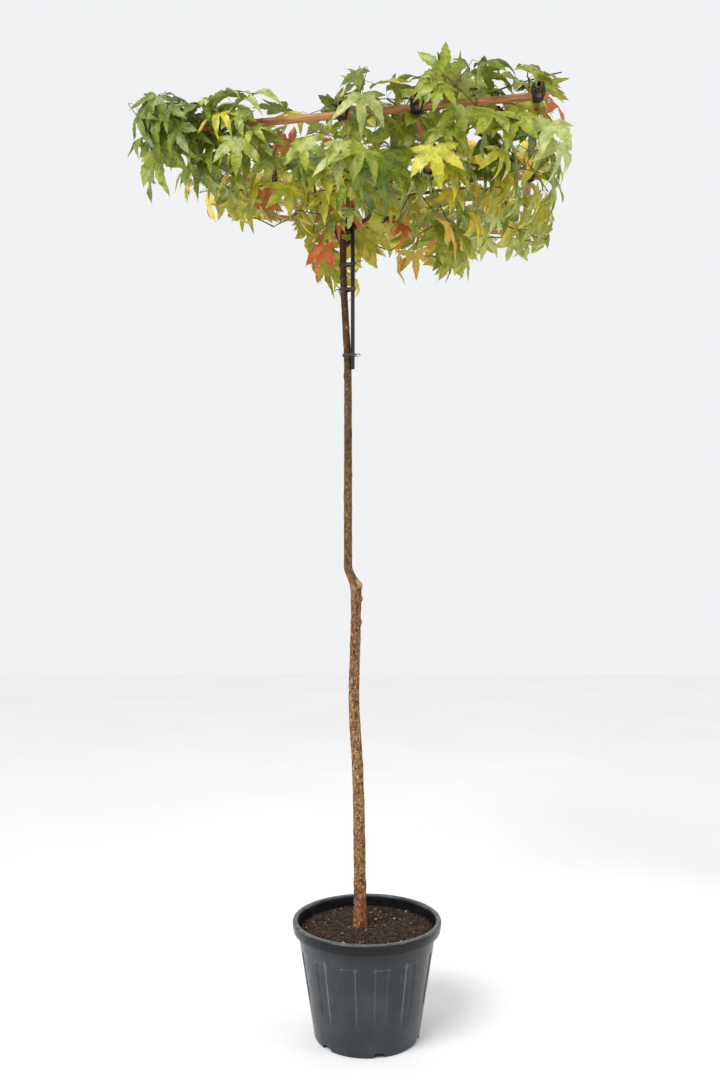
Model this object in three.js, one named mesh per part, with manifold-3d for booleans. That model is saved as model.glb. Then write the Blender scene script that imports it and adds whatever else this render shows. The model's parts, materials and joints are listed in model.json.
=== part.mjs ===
// A roof-trained sweetgum in a nursery pot: a clear trunk carries a flat crown of star-leaved twigs
// that is spread over a level frame of bamboo canes, which a short black rod lashes to the trunk.
// Millimetres. +Z is up, +Y points away from the front and +X to the right; the origin is the middle
// of the pot's flat underside.
import * as THREE from 'three';
import { mergeVertices } from 'three/addons/utils/BufferGeometryUtils.js';
import Module from 'manifold-3d';

const wasm = await Module();
wasm.setup();

// ---- driving dimensions ----

const gap = 0.3; // clearance between pieces that touch

const pot = {
  height: 368,
  rimRadius: 235.5,
  mouthRadius: 217.5,
  baseRadius: 165.5,
  shoulderRadius: 218, // body just under the rolled rim
  rimDrop: 36,
  wall: 4.5,
  floor: 6,
  sides: 36,
  flutes: 13,
  fluteWidth: 41,
  fluteDepth: 2.6,
  fluteTop: 282,
  fluteFoot: 78,
  firstFlute: -15.6, // degrees from the front
  notches: 6,
  notchWidth: 34,
  notchHeight: 15,
  rimRoll: 7, // rounding of the rim's upper edge
  mouthBevel: 4,
  footBevel: 5,
};

const soil = {
  edgeHeight: 333,
  crownHeight: 336,
  plateauRadius: 70,
  shoulderRadius: 130,
  play: 6, // between its edge and the pot's wall
  sides: 24,
};

const trunk = {
  foot: soil.crownHeight + gap,
  top: 2640,
  graft: 1440, // height of the step where the upper stem was grafted on
  graftStep: -26,
  stepBelow: 35, // the step starts this much below the graft and ends this much above it
  stepAbove: 45,
  footX: -22,
  lean: -12, // of the lower stem
  bow: { reach: -10, height: 1060, spread: 190 },
  upperLean: { reach: -16, from: 2050, to: 2480 },
  headTurn: { reach: 9, from: 2540 },
  weave: { reach: 4, rise: 330 }, // to and fro from front to back
  footRadius: 19.4,
  belowGraft: 16,
  aboveGraft: 13.2,
  headHeight: 2500,
  headRadius: 11,
  topRadius: 8.2,
  flare: { reach: 4.5, fade: 30 },
  swelling: { reach: 1.8, drop: 32, spread: 34 }, // a collar just below the graft
  sides: 8,
  rings: 32,
};

const rod = { radius: 6.3, x: -45, y: -11, foot: 2105, sides: 10 };
const rodTieHeights = [2150, 2358, 2437];
const tieBand = { thickness: 2.4, height: 6, slack: 0.8, fit: 1, halfWidth: 26, corner: 10, play: 4 };

const cane = { radius: 10.5, crossRadius: 10, sides: 8, overhang: 25 };
// The frame's four corners where the edge canes cross, seen from above.
const frame = {
  frontLeft: new THREE.Vector3(-578, -462, 2680),
  frontRight: new THREE.Vector3(445, -597, 2723),
  backLeft: new THREE.Vector3(-477, 500, 2749),
  backRight: new THREE.Vector3(592, 605, 2712),
  crossings: [0.01, 0.22, 0.497, 0.691, 0.998], // places of the cross canes along the long ones
};

const bough = {
  lowest: 2492, // height on the trunk where the first bough leaves it
  step: 36, // between the starts of one bough and the next
  starts: 4,
  below: 24, // under the frame, and a little more for every second and third bough
  stagger: 6,
  bend: 0.45, // place of the bend along the bough
  arch: 12,
  thick: 7.6,
  thin: 4.4,
  sides: 5,
  rings: 6,
};

const leaf = {
  length: 93, // from the top of the stalk to the tip of the middle lobe
  smallest: 0.86,
  largest: 1.14,
  shortStalk: 34,
  longStalk: 105,
  bladeSetback: 30, // the stalk stops this far short of the place that the leaf fills
  bladeMiddle: 20,
  roll: 0.8, // radians to either side
  tipSpread: 60, // how far round a twig's tip its end leaf may point
  thickness: 2.4,
  // one half of the outline from the middle lobe round to the stalk: angle in degrees, share of length
  lobes: [[0, 1], [25, 0.46], [52, 0.95], [82, 0.4], [112, 0.7], [158, 0.14]],
};

const twig = {
  stemRadius: 4.2,
  radius: 2.7,
  tipRadius: 1.6,
  sides: 3,
  rings: 2,
  stemRings: 4,
  stemLead: 60, // the stem runs on straight for this far before it turns to its space's far side
  stemDrop: 40, // of its end under the frame
  clearance: 1,
  longest: 230,
  arch: 18,
};

// The crown is three rows of foliage masses over and under the frame. Each mass stands up over the
// frame (lift) and hangs below it (hang), and keeps to the space that is nearer to its own middle
// than to any other's.
const crown = {
  rows: [
    { name: 'front', deep: 0.06, lift: [120, 125, 168], hang: [175, 280, 240] },
    { name: 'middle', deep: 0.5, lift: [90, 100, 125, 140], hang: [150, 345, 370, 275] },
    { name: 'back', deep: 0.92, lift: [80, 105, 120], hang: [80, 110, 160] },
  ],
  // the middle row's underside from left to right: x and depth under the frame
  underside: [
    [-600, 120], [-280, 150], [-210, 210], [-150, 320], [-50, 345], [0, 270],
    [60, 250], [130, 290], [220, 340], [300, 370], [380, 275], [660, 230],
  ],
  columns: {
    3: ['left', 'centre', 'right'],
    4: ['left', 'mid_left', 'mid_right', 'right'],
  },
  outside: { left: 70, leftBack: 25, right: 112, front: 108, back: 90 }, // reach past the frame
  tilt: 40, // every other mass has its middle this much higher, so that the walls between them lean
  ripple: { depth: 0.14, wide: 61, deep: 83 }, // how the crown's top and underside rise and fall
  rightDrop: { share: 0.45, from: 260, to: 420 }, // the top sinks towards the right-hand edge
  boundary: 1.2, // half the room between two masses
  trunkMass: 'middle_mid_left', // grows from the trunk's top
  room: 1.34e6, // cubic millimetres of space for each leaf
  leavesPerTwig: 3.6,
  choices: 3, // places looked at for each leaf or twig, of which the emptiest is taken
  tries: 22,
  searches: 600,
  samples: 2000, // random points that measure the volume of a space
  halfBox: 330,
  seed: 31,
};

// ---- small helpers ----

const radians = THREE.MathUtils.degToRad;
const ease = (from, to, value) => THREE.MathUtils.smoothstep(value, from, to);
const bump = (centre, spread, value) => Math.exp(-(((value - centre) / spread) ** 2));

// A repeatable stream of numbers between 0 and 1.
function randomStream(seed) {
  let state = seed * 2654435761 >>> 0;
  return () => {
    state = (state + 0x6d2b79f5) >>> 0;
    let mixed = Math.imul(state ^ (state >>> 15), state | 1);
    mixed ^= mixed + Math.imul(mixed ^ (mixed >>> 7), mixed | 61);
    return ((mixed ^ (mixed >>> 14)) >>> 0) / 4294967296;
  };
}

function solidFrom(geometry) {
  const bare = geometry.clone();
  bare.deleteAttribute('normal');
  bare.deleteAttribute('uv');
  const merged = mergeVertices(bare, 1e-4);
  return new wasm.Manifold(new wasm.Mesh({
    numProp: 3,
    vertProperties: merged.attributes.position.array,
    triVerts: new Uint32Array(merged.index.array),
  }));
}

function geometryFrom(solid) {
  const mesh = solid.getMesh();
  const geometry = new THREE.BufferGeometry();
  geometry.setAttribute('position', new THREE.BufferAttribute(mesh.vertProperties, 3));
  geometry.setIndex(new THREE.BufferAttribute(mesh.triVerts, 1));
  const flat = geometry.toNonIndexed();
  flat.computeVertexNormals();
  return flat;
}

function closedGeometry(points, triangles) {
  const geometry = new THREE.BufferGeometry();
  geometry.setFromPoints(points);
  geometry.setIndex(triangles);
  return geometry;
}

// A closed limb along a curve: rings of a given radius, with a flat cap at each end. Level rings
// stay horizontal, so the lower cap is a flat cut.
function limb(curve, radiusAt, sides, rings, level = false) {
  const frames = curve.computeFrenetFrames(rings, false);
  const points = [];
  for (let ring = 0; ring <= rings; ring++) {
    const t = ring / rings;
    const centre = curve.getPoint(t);
    const across = level ? new THREE.Vector3(1, 0, 0) : frames.normals[ring];
    const along = level ? new THREE.Vector3(0, 1, 0) : frames.binormals[ring];
    for (let side = 0; side < sides; side++) {
      const turn = (side / sides) * 2 * Math.PI;
      points.push(centre.clone()
        .addScaledVector(across, Math.cos(turn) * radiusAt(t))
        .addScaledVector(along, Math.sin(turn) * radiusAt(t)));
    }
  }
  const triangles = [];
  for (let ring = 0; ring < rings; ring++) {
    for (let side = 0; side < sides; side++) {
      const a = ring * sides + side;
      const b = ring * sides + (side + 1) % sides;
      triangles.push(a, b, b + sides, a, b + sides, a + sides);
    }
  }
  const last = rings * sides;
  for (let side = 1; side < sides - 1; side++) {
    triangles.push(0, side + 1, side);
    triangles.push(last, last + side, last + side + 1);
  }
  return closedGeometry(points, triangles);
}

// ---- materials ----

const plain = (color, roughness) => new THREE.MeshStandardMaterial({ color, roughness, metalness: 0 });
const materials = {
  plastic: plain(0x3a3d40, 0.5),
  soil: plain(0x3b2a22, 0.95),
  bark: plain(0x6f5233, 0.85),
  bamboo: plain(0xa06a35, 0.45),
  rod: plain(0x1b1c1e, 0.5),
  tie: plain(0x26282a, 0.6),
  leaf: plain(0x6f7f28, 0.55),
};

const tree = new THREE.Group();

function place(name, geometry, material) {
  const mesh = new THREE.Mesh(geometry, material);
  mesh.name = name;
  tree.add(mesh);
  return mesh;
}

// ---- pot and soil ----

const bodyRadius = (height) =>
  pot.baseRadius + (pot.shoulderRadius - pot.baseRadius) * height / (pot.height - pot.rimDrop);

function makePot() {
  const rimFoot = pot.height - pot.rimDrop;
  const profile = [
    [0, 0],
    [pot.baseRadius - pot.footBevel, 0],
    [bodyRadius(pot.footBevel), pot.footBevel],
    [bodyRadius(rimFoot), rimFoot],
    [pot.rimRadius - 8, rimFoot - 2],
    [pot.rimRadius - 2, rimFoot + 6],
    [pot.rimRadius, pot.height - pot.rimRoll],
    [pot.rimRadius - pot.rimRoll, pot.height],
    [pot.mouthRadius + pot.mouthBevel, pot.height - 1],
    [pot.mouthRadius, pot.height - 2 * pot.mouthBevel],
    [bodyRadius(rimFoot) - pot.wall, rimFoot - 14],
    [bodyRadius(pot.floor) - pot.wall, pot.floor],
    [0, pot.floor],
  ].map(([radius, height]) => new THREE.Vector2(radius, height));
  const shell = new THREE.LatheGeometry(profile, pot.sides);
  shell.rotateX(Math.PI / 2);
  return solidFrom(shell);
}

// A slab that lies in the wall's slope and takes a shallow flute out of it.
function fluteCutter(turn) {
  const height = pot.fluteTop - pot.fluteFoot;
  const middle = (pot.fluteTop + pot.fluteFoot) / 2;
  const reach = 20;
  const slope = Math.atan2(pot.shoulderRadius - pot.baseRadius, pot.height - pot.rimDrop);
  const cutter = new THREE.BoxGeometry(pot.fluteWidth, reach, height);
  cutter.rotateX(slope);
  cutter.translate(0, -(bodyRadius(middle) - pot.fluteDepth + reach / 2), middle);
  cutter.rotateZ(turn);
  return solidFrom(cutter);
}

// A drain notch through the foot of the wall.
function notchCutter(turn) {
  const reach = 40;
  const cutter = new THREE.BoxGeometry(pot.notchWidth, reach, 2 * pot.notchHeight);
  cutter.translate(0, -(pot.baseRadius + reach / 4), 0);
  cutter.rotateZ(turn);
  return solidFrom(cutter);
}

function addPot() {
  let shell = makePot();
  for (let i = 0; i < pot.flutes; i++) {
    shell = shell.subtract(fluteCutter(radians(pot.firstFlute + i * 360 / pot.flutes)));
  }
  for (let i = 0; i < pot.notches; i++) {
    const turn = radians(pot.firstFlute + 360 / pot.flutes + i * 360 / pot.notches);
    shell = shell.subtract(notchCutter(turn));
  }
  place('pot', geometryFrom(shell), materials.plastic);
}

// Soil fills the pot and rises a little to a level patch under the trunk.
function addSoil() {
  const rimFoot = pot.height - pot.rimDrop;
  const inside = (height) => bodyRadius(height) - pot.wall - soil.play / 2;
  const profile = [
    [0, pot.floor + gap],
    [inside(pot.floor), pot.floor + gap],
    [inside(rimFoot), rimFoot - 14],
    [pot.mouthRadius - soil.play, soil.edgeHeight - 3],
    [pot.mouthRadius - 30, soil.edgeHeight - 1],
    [soil.shoulderRadius, soil.edgeHeight + 1],
    [soil.plateauRadius, soil.crownHeight],
    [0, soil.crownHeight],
  ].map(([radius, height]) => new THREE.Vector2(radius, height));
  const fill = new THREE.LatheGeometry(profile, soil.sides);
  fill.rotateX(Math.PI / 2);
  place('soil', geometryFrom(solidFrom(fill)), materials.soil);
}

// ---- trunk ----

const trunkHeight = (t) => trunk.foot + (trunk.top - trunk.foot) * t;

// The lower stem bows left at knee height, steps left at the graft and leans left under the crown.
function trunkAxis(height) {
  const { graft, bow, upperLean, headTurn, weave } = trunk;
  const x = trunk.footX
    + trunk.lean * ease(trunk.foot, graft, height)
    + bow.reach * bump(bow.height, bow.spread, height)
    + trunk.graftStep * ease(graft - trunk.stepBelow, graft + trunk.stepAbove, height)
    + upperLean.reach * ease(upperLean.from, upperLean.to, height)
    + headTurn.reach * ease(headTurn.from, trunk.top, height);
  return new THREE.Vector3(x, weave.reach * Math.sin(height / weave.rise), height);
}

function trunkRadius(height) {
  const { foot, graft, headHeight, flare, swelling } = trunk;
  const lower = THREE.MathUtils.lerp(trunk.footRadius, trunk.belowGraft, ease(foot, graft, height));
  const stem = THREE.MathUtils.lerp(trunk.aboveGraft, trunk.headRadius, ease(graft, headHeight, height));
  const upper = stem - (trunk.headRadius - trunk.topRadius) * ease(headHeight, trunk.top, height);
  const above = ease(graft - trunk.stepBelow, graft + trunk.stepAbove, height);
  return THREE.MathUtils.lerp(lower, upper, above)
    + flare.reach * Math.exp(-(height - foot) / flare.fade)
    + swelling.reach * bump(graft - swelling.drop, swelling.spread, height);
}

class TrunkLine extends THREE.Curve {
  getPoint(t) {
    return trunkAxis(trunkHeight(t));
  }
}

const trunkLimb = (extra) => limb(
  new TrunkLine(), (t) => trunkRadius(trunkHeight(t)) + extra, trunk.sides, trunk.rings, true);

// ---- rod, canes and ties ----

function rodLimb(extra) {
  const top = frameSurface(0.49, 0.5).z - cane.radius - gap;
  const line = new THREE.LineCurve3(
    new THREE.Vector3(rod.x, rod.y, rod.foot), new THREE.Vector3(rod.x, rod.y, top));
  return limb(line, () => rod.radius + extra, rod.sides, 1);
}

// A band round the trunk and the rod together.
function rodTie(height) {
  const from = trunkAxis(height);
  const to = new THREE.Vector3(rod.x, rod.y, height);
  const turn = Math.atan2(to.y - from.y, to.x - from.x);
  const outline = (extra) => {
    const path = new THREE.Path();
    const trunkReach = trunkRadius(height) + tieBand.slack + extra;
    const rodReach = rod.radius + tieBand.slack + extra;
    path.absarc(from.x, from.y, trunkReach, turn + Math.PI / 2, turn + 1.5 * Math.PI, false);
    path.absarc(to.x, to.y, rodReach, turn - Math.PI / 2, turn + Math.PI / 2, false);
    return path;
  };
  const band = new THREE.Shape(outline(tieBand.thickness + tieBand.fit).getPoints(4));
  band.holes.push(new THREE.Path(outline(tieBand.fit).getPoints(4)));
  const geometry = new THREE.ExtrudeGeometry(band, { depth: tieBand.height, bevelEnabled: false });
  geometry.translate(0, 0, height - tieBand.height / 2);
  return geometry;
}

// A point of the frame's surface, from 0 to 1 along the long canes and from front to back.
function frameSurface(share, deep) {
  const front = frame.frontLeft.clone().lerp(frame.frontRight, share);
  const back = frame.backLeft.clone().lerp(frame.backRight, share);
  return front.lerp(back, deep);
}

function caneLimb(from, to, radius, extra) {
  const run = to.clone().sub(from).normalize();
  const line = new THREE.LineCurve3(
    from.clone().addScaledVector(run, -cane.overhang), to.clone().addScaledVector(run, cane.overhang));
  return limb(line, () => radius + extra, cane.sides, 1);
}

function longCane(deep, extra) {
  return caneLimb(frameSurface(0, deep), frameSurface(1, deep), cane.radius, extra);
}

// Cross canes lie on top of the long ones.
const rise = new THREE.Vector3(0, 0, cane.radius + cane.crossRadius + 2 * gap);

function crossCane(share, extra) {
  const from = frameSurface(share, 0).add(rise);
  const to = frameSurface(share, 1).add(rise);
  return caneLimb(from, to, cane.crossRadius, extra);
}

// A band that stands on edge across a crossing and goes round both canes.
function crossingTie(share, deep) {
  const { corner } = tieBand;
  const outline = (extra) => {
    const x = tieBand.halfWidth + extra;
    const y = cane.radius + cane.crossRadius + tieBand.play + extra;
    return [[x, 0], [x - corner, y], [corner - x, y], [-x, 0], [corner - x, -y], [x - corner, -y]]
      .map(([across, up]) => new THREE.Vector2(across, up));
  };
  const band = new THREE.Shape(outline(tieBand.thickness));
  band.holes.push(new THREE.Path(outline(0)));
  const geometry = new THREE.ExtrudeGeometry(band, { depth: tieBand.height, bevelEnabled: false });
  geometry.translate(0, 0, -tieBand.height / 2);
  geometry.rotateX(Math.PI / 2);
  geometry.rotateZ(Math.PI / 4);
  const crossing = frameSurface(share, deep);
  geometry.translate(crossing.x, crossing.y, crossing.z + cane.crossRadius + gap);
  return geometry;
}

// ---- the crown's spaces ----

const along = (from, to, value) => (value - from) / (to - from);

// The depth that a mass hangs to at a place, straight between the underside's listed points.
function hangAt(mass, x) {
  if (!mass.name.startsWith('middle')) return mass.hang;
  const line = crown.underside;
  const next = Math.max(1, line.findIndex(([place]) => place > x));
  const [[fromX, fromDepth], [toX, toDepth]] = line.slice(next - 1, next + 1);
  return THREE.MathUtils.lerp(fromDepth, toDepth, along(fromX, toX, x));
}

const leftEdge = (y) => THREE.MathUtils.lerp(
  frame.frontLeft.x, frame.backLeft.x, along(frame.frontLeft.y, frame.backLeft.y, y));
const rightEdge = (y) => THREE.MathUtils.lerp(
  frame.frontRight.x, frame.backRight.x, along(frame.frontRight.y, frame.backRight.y, y));
const frontEdge = (x) => THREE.MathUtils.lerp(
  frame.frontLeft.y, frame.frontRight.y, along(frame.frontLeft.x, frame.frontRight.x, x));
const backEdge = (x) => THREE.MathUtils.lerp(
  frame.backLeft.y, frame.backRight.y, along(frame.backLeft.x, frame.backRight.x, x));

const frameLevel = (point) => frameSurface(
  along(leftEdge(point.y), rightEdge(point.y), point.x),
  along(frontEdge(point.x), backEdge(point.x), point.y)).z;

const masses = crown.rows.flatMap((row) => row.lift.map((lift, i) => {
  const count = row.lift.length;
  const middle = frameSurface((i + 0.5) / count, row.deep);
  middle.z += i % 2 ? crown.tilt : -crown.tilt;
  return { name: `${row.name}_${crown.columns[count][i]}`, middle, lift, hang: row.hang[i] };
}));

function inOwnSpace(mass, point) {
  const deep = along(frontEdge(point.x), backEdge(point.x), point.y);
  const { left, leftBack, right, front, back } = crown.outside;
  if (point.x < leftEdge(point.y) - THREE.MathUtils.lerp(left, leftBack, deep)) return false;
  if (point.x > rightEdge(point.y) + right) return false;
  if (point.y < frontEdge(point.x) - front || point.y > backEdge(point.x) + back) return false;
  const level = frameLevel(point);
  const { ripple, rightDrop } = crown;
  const swell = 0.5 + 0.5 * Math.sin(point.x / ripple.wide) * Math.cos(point.y / ripple.deep);
  const wave = 1 - ripple.depth * swell;
  const drop = 1 - rightDrop.share * ease(rightDrop.from, rightDrop.to, point.x);
  if (point.z > level + mass.lift * wave * drop) return false;
  if (point.z < level - hangAt(mass, point.x) * wave) return false;
  return masses.every((other) => {
    if (other === mass) return true;
    const apart = other.middle.distanceTo(mass.middle);
    const closer = other.middle.distanceToSquared(point) - mass.middle.distanceToSquared(point);
    return closer / (2 * apart) > crown.boundary;
  });
}

// ---- boughs ----

// Each bough leaves the trunk's head at its own height, arches up, runs out below the canes and
// ends where it enters its mass.
function boughLine(mass, index) {
  const start = trunkAxis(bough.lowest + (index % bough.starts) * bough.step);
  const end = start.clone();
  for (let share = 0.35; share < 0.9; share += 0.02) {
    end.copy(start).lerp(mass.middle, share);
    end.z = frameLevel(end) - bough.below - (index % 3) * bough.stagger;
    if (inOwnSpace(mass, end)) break;
  }
  const bend = start.clone().lerp(end, bough.bend);
  bend.z = end.z - bough.arch;
  return new THREE.QuadraticBezierCurve3(start, bend, end);
}

const boughLimb = (line, extra) => limb(
  line, (t) => THREE.MathUtils.lerp(bough.thick, bough.thin, t) + extra, bough.sides, bough.rings);

// ---- leaves and twigs ----

// A star-shaped leaf on its stalk. It lies along +Y with the stalk's end at the origin. Its underside
// is flat and its upper side rises to the middle.
function leafGeometry(size, stalk) {
  const half = leaf.lobes.map(([angle, share]) => [radians(angle), share * leaf.length * size]);
  const mirrored = half.slice(1).reverse().map(([angle, reach]) => [-angle, reach]);
  const outline = [...half, [Math.PI, stalk], ...mirrored];
  const points = outline.map(([angle, reach]) =>
    new THREE.Vector3(Math.sin(angle) * reach, Math.cos(angle) * reach, 0));
  const count = points.length;
  points.push(new THREE.Vector3(0, 0, leaf.thickness));
  const triangles = [];
  for (let i = 0; i < count; i++) {
    triangles.push(count, (i + 1) % count, i);
  }
  for (let tip = 0; tip < count; tip += 2) {
    triangles.push((tip + count - 1) % count, tip, tip + 1);
  }
  for (let notch = 3; notch < count - 1; notch += 2) {
    triangles.push(1, notch, notch + 2);
  }
  const geometry = closedGeometry(points, triangles);
  geometry.translate(0, stalk, 0);
  return geometry;
}

// Turns a leaf so that it grows from a point along a direction, rolled about it.
function seatLeaf(geometry, root, direction, roll) {
  const side = new THREE.Vector3().crossVectors(direction, new THREE.Vector3(0, 0, 1)).normalize();
  const face = new THREE.Vector3().crossVectors(side, direction).normalize();
  const seat = new THREE.Matrix4().makeBasis(side, direction, face);
  geometry.rotateY(roll);
  geometry.applyMatrix4(seat);
  geometry.translate(root.x, root.y, root.z);
  return geometry;
}

const piece = (geometry) => {
  geometry.computeBoundingBox();
  return { solid: solidFrom(geometry), box: geometry.boundingBox.clone() };
};

const touches = (one, other) =>
  one.box.intersectsBox(other.box) && one.solid.intersect(other.solid).volume() > 0;

function twigLimb(line, thick, thin, rings) {
  return limb(line, (t) => thick + (thin - thick) * t, twig.sides, rings);
}

const corners = (geometry) => {
  const points = geometry.attributes.position;
  return Array.from({ length: points.count }, (_, i) => new THREE.Vector3().fromBufferAttribute(points, i));
};

// A box round a mass's space.
function spaceBox(mass) {
  const reach = new THREE.Vector3(crown.halfBox, crown.halfBox, 0);
  const box = new THREE.Box3(mass.middle.clone().sub(reach), mass.middle.clone().add(reach));
  box.min.z = frameLevel(mass.middle) - mass.hang;
  box.max.z = frameLevel(mass.middle) + mass.lift;
  return box;
}

// The emptiest of a few random places in a mass's space: the one furthest from all that is there.
function emptiestPlace(mass, box, random, filled) {
  let best;
  let bestRoom = -1;
  for (let found = 0, tried = 0; found < crown.choices && tried < crown.searches; tried++) {
    const place = new THREE.Vector3(random(), random(), random())
      .multiply(box.getSize(new THREE.Vector3())).add(box.min);
    if (!inOwnSpace(mass, place)) continue;
    found++;
    const room = Math.min(...filled.map((other) => other.distanceTo(place)));
    if (room > bestRoom) [best, bestRoom] = [place, room];
  }
  return best;
}

// The volume of a mass's own space, from the share of random points in its box that lie in it.
function spaceVolume(mass, box, random) {
  const size = box.getSize(new THREE.Vector3());
  let inside = 0;
  for (let i = 0; i < crown.samples; i++) {
    const place = new THREE.Vector3(random(), random(), random()).multiply(size).add(box.min);
    if (inOwnSpace(mass, place)) inside++;
  }
  return size.x * size.y * size.z * inside / crown.samples;
}

// Places on a twig's own axis where something can grow: its rings and half-way between them.
function pointsAlong(line, body, rings) {
  const centres = line.getPoints(rings);
  const between = centres.slice(1).map((centre, i) => centre.clone().lerp(centres[i], 0.5));
  const tip = centres[rings].clone().lerp(centres[rings - 1], 0.06);
  return [...centres.slice(1, rings), ...between, tip].map((point) => ({ point, body }));
}

const nearest = (list, place) => list.reduce((best, each) =>
  each.point.distanceTo(place) < best.point.distanceTo(place) ? each : best);

// One mass: a stem cut clear of the limbs, twigs that reach to every part of the space, and leaves
// all round them.
function growMass(mass, stemStart, stemRun, limbsAround, obstacles) {
  const random = randomStream(crown.seed + masses.indexOf(mass));
  const spread = (size) => (random() - 0.5) * 2 * size;
  const box = spaceBox(mass);
  const leafCount = Math.round(spaceVolume(mass, box, random) / crown.room);
  const start = stemStart.clone().addScaledVector(stemRun, gap + 0.2);
  const far = mass.middle.clone().lerp(start, -0.25);
  far.z = frameLevel(far) - twig.stemDrop;
  const lead = start.clone().addScaledVector(stemRun, twig.stemLead);
  const stemLine = new THREE.QuadraticBezierCurve3(start, lead, far);
  const stem = piece(twigLimb(stemLine, twig.stemRadius, twig.radius, twig.stemRings));
  stem.solid = stem.solid.subtract(limbsAround);
  const limbs = [stem];
  const growing = pointsAlong(stemLine, stem, twig.stemRings);
  const fits = (geometry, made) =>
    corners(geometry).every((point) => inOwnSpace(mass, point)) &&
    !obstacles.some((other) => touches(made, other));

  const filled = [far.clone()];
  const tips = [growing.at(-1)];
  const twigCount = Math.ceil(leafCount / crown.leavesPerTwig);
  for (let attempt = 0; attempt < twigCount * crown.tries && limbs.length <= twigCount; attempt++) {
    const target = emptiestPlace(mass, box, random, filled);
    const from = nearest(growing, target);
    const root = from.point;
    target.sub(root).clampLength(0, twig.longest).add(root);
    const bend = root.clone().lerp(target, 0.5);
    bend.z += spread(twig.arch);
    const line = new THREE.QuadraticBezierCurve3(root, bend, target);
    const geometry = twigLimb(line, twig.radius, twig.tipRadius, twig.rings);
    const made = piece(geometry);
    const others = limbs.filter((other) => other !== from.body);
    if (!fits(geometry, made) || others.some((other) => touches(made, other))) continue;
    limbs.push(made);
    growing.push(...pointsAlong(line, made, twig.rings));
    tips.push(growing.at(-1));
    filled.push(target);
  }

  const leaves = [];
  const blades = growing.map(({ point }) => point);
  const addLeaf = (from, target) => {
    const run = target.clone().sub(from.point);
    const stalk = THREE.MathUtils.clamp(run.length() - leaf.bladeSetback, leaf.shortStalk, leaf.longStalk);
    const size = THREE.MathUtils.lerp(leaf.smallest, leaf.largest, random());
    const geometry = seatLeaf(leafGeometry(size, stalk), from.point, run.normalize(), spread(leaf.roll));
    const made = piece(geometry);
    const others = limbs.filter((other) => other !== from.body);
    if (!fits(geometry, made) || [...leaves, ...others].some((other) => touches(made, other))) return false;
    leaves.push(made);
    blades.push(from.point.clone().addScaledVector(run, stalk + leaf.bladeMiddle));
    return true;
  };
  for (const tip of tips) {
    for (let attempt = 0; attempt < crown.tries; attempt++) {
      const aside = new THREE.Vector3(spread(1), spread(1), spread(1)).multiplyScalar(leaf.tipSpread);
      if (addLeaf(tip, aside.add(tip.point))) break;
    }
  }
  for (let attempt = 0; attempt < leafCount * crown.tries && leaves.length < leafCount; attempt++) {
    const target = emptiestPlace(mass, box, random, blades);
    addLeaf(nearest(growing, target), target);
  }
  const whole = [...limbs, ...leaves].map((made) => made.solid).reduce((sum, next) => sum.add(next));
  return geometryFrom(whole);
}

// ---- assembly ----

addPot();
addSoil();

const obstacles = []; // what twigs and leaves grow past
const keepClear = (geometry) => obstacles.push(piece(geometry));

place('trunk', trunkLimb(0), materials.bark);
keepClear(trunkLimb(twig.clearance));
place('rod', rodLimb(0), materials.rod);
keepClear(rodLimb(twig.clearance));
rodTieHeights.forEach((height, i) => {
  place(`rod_tie_${i + 1}`, rodTie(height), materials.tie);
  keepClear(rodTie(height));
});

for (const [name, deep] of [['front', 0], ['middle', 0.5], ['back', 1]]) {
  place(`cane_${name}`, longCane(deep, 0), materials.bamboo);
  keepClear(longCane(deep, twig.clearance));
  frame.crossings.forEach((share, i) => {
    place(`cane_tie_${name}_${i + 1}`, crossingTie(share, deep), materials.tie);
    keepClear(crossingTie(share, deep));
  });
}
frame.crossings.forEach((share, i) => {
  place(`cane_cross_${i + 1}`, crossCane(share, 0), materials.bamboo);
  keepClear(crossCane(share, twig.clearance));
});

const boughs = [];
let taken = solidFrom(trunkLimb(gap)).add(solidFrom(rodLimb(gap)));
masses.filter((mass) => mass.name !== crown.trunkMass).forEach((mass, i) => {
  const line = boughLine(mass, i);
  const body = solidFrom(boughLimb(line, 0)).subtract(taken);
  taken = taken.add(solidFrom(boughLimb(line, gap)));
  boughs.push({ mass, line });
  place(`bough_${mass.name}`, geometryFrom(body), materials.bark);
});
boughs.forEach(({ line }) => keepClear(boughLimb(line, twig.clearance)));

const leaderRun = new THREE.Vector3(-0.25, -0.75, 0.6).normalize(); // out between two canes
for (const mass of masses) {
  const carrier = boughs.find((each) => each.mass === mass);
  const start = carrier ? carrier.line.getPoint(1) : trunkAxis(trunk.top);
  const run = carrier ? carrier.line.getTangent(1) : leaderRun;
  place(`foliage_${mass.name}`, growMass(mass, start, run, taken, obstacles), materials.leaf);
}

export default tree;
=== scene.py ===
import json
import math
import random
from functools import partial

import bmesh
import bpy
import numpy as np
from mathutils import Euler, Matrix, Vector, noise

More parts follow.
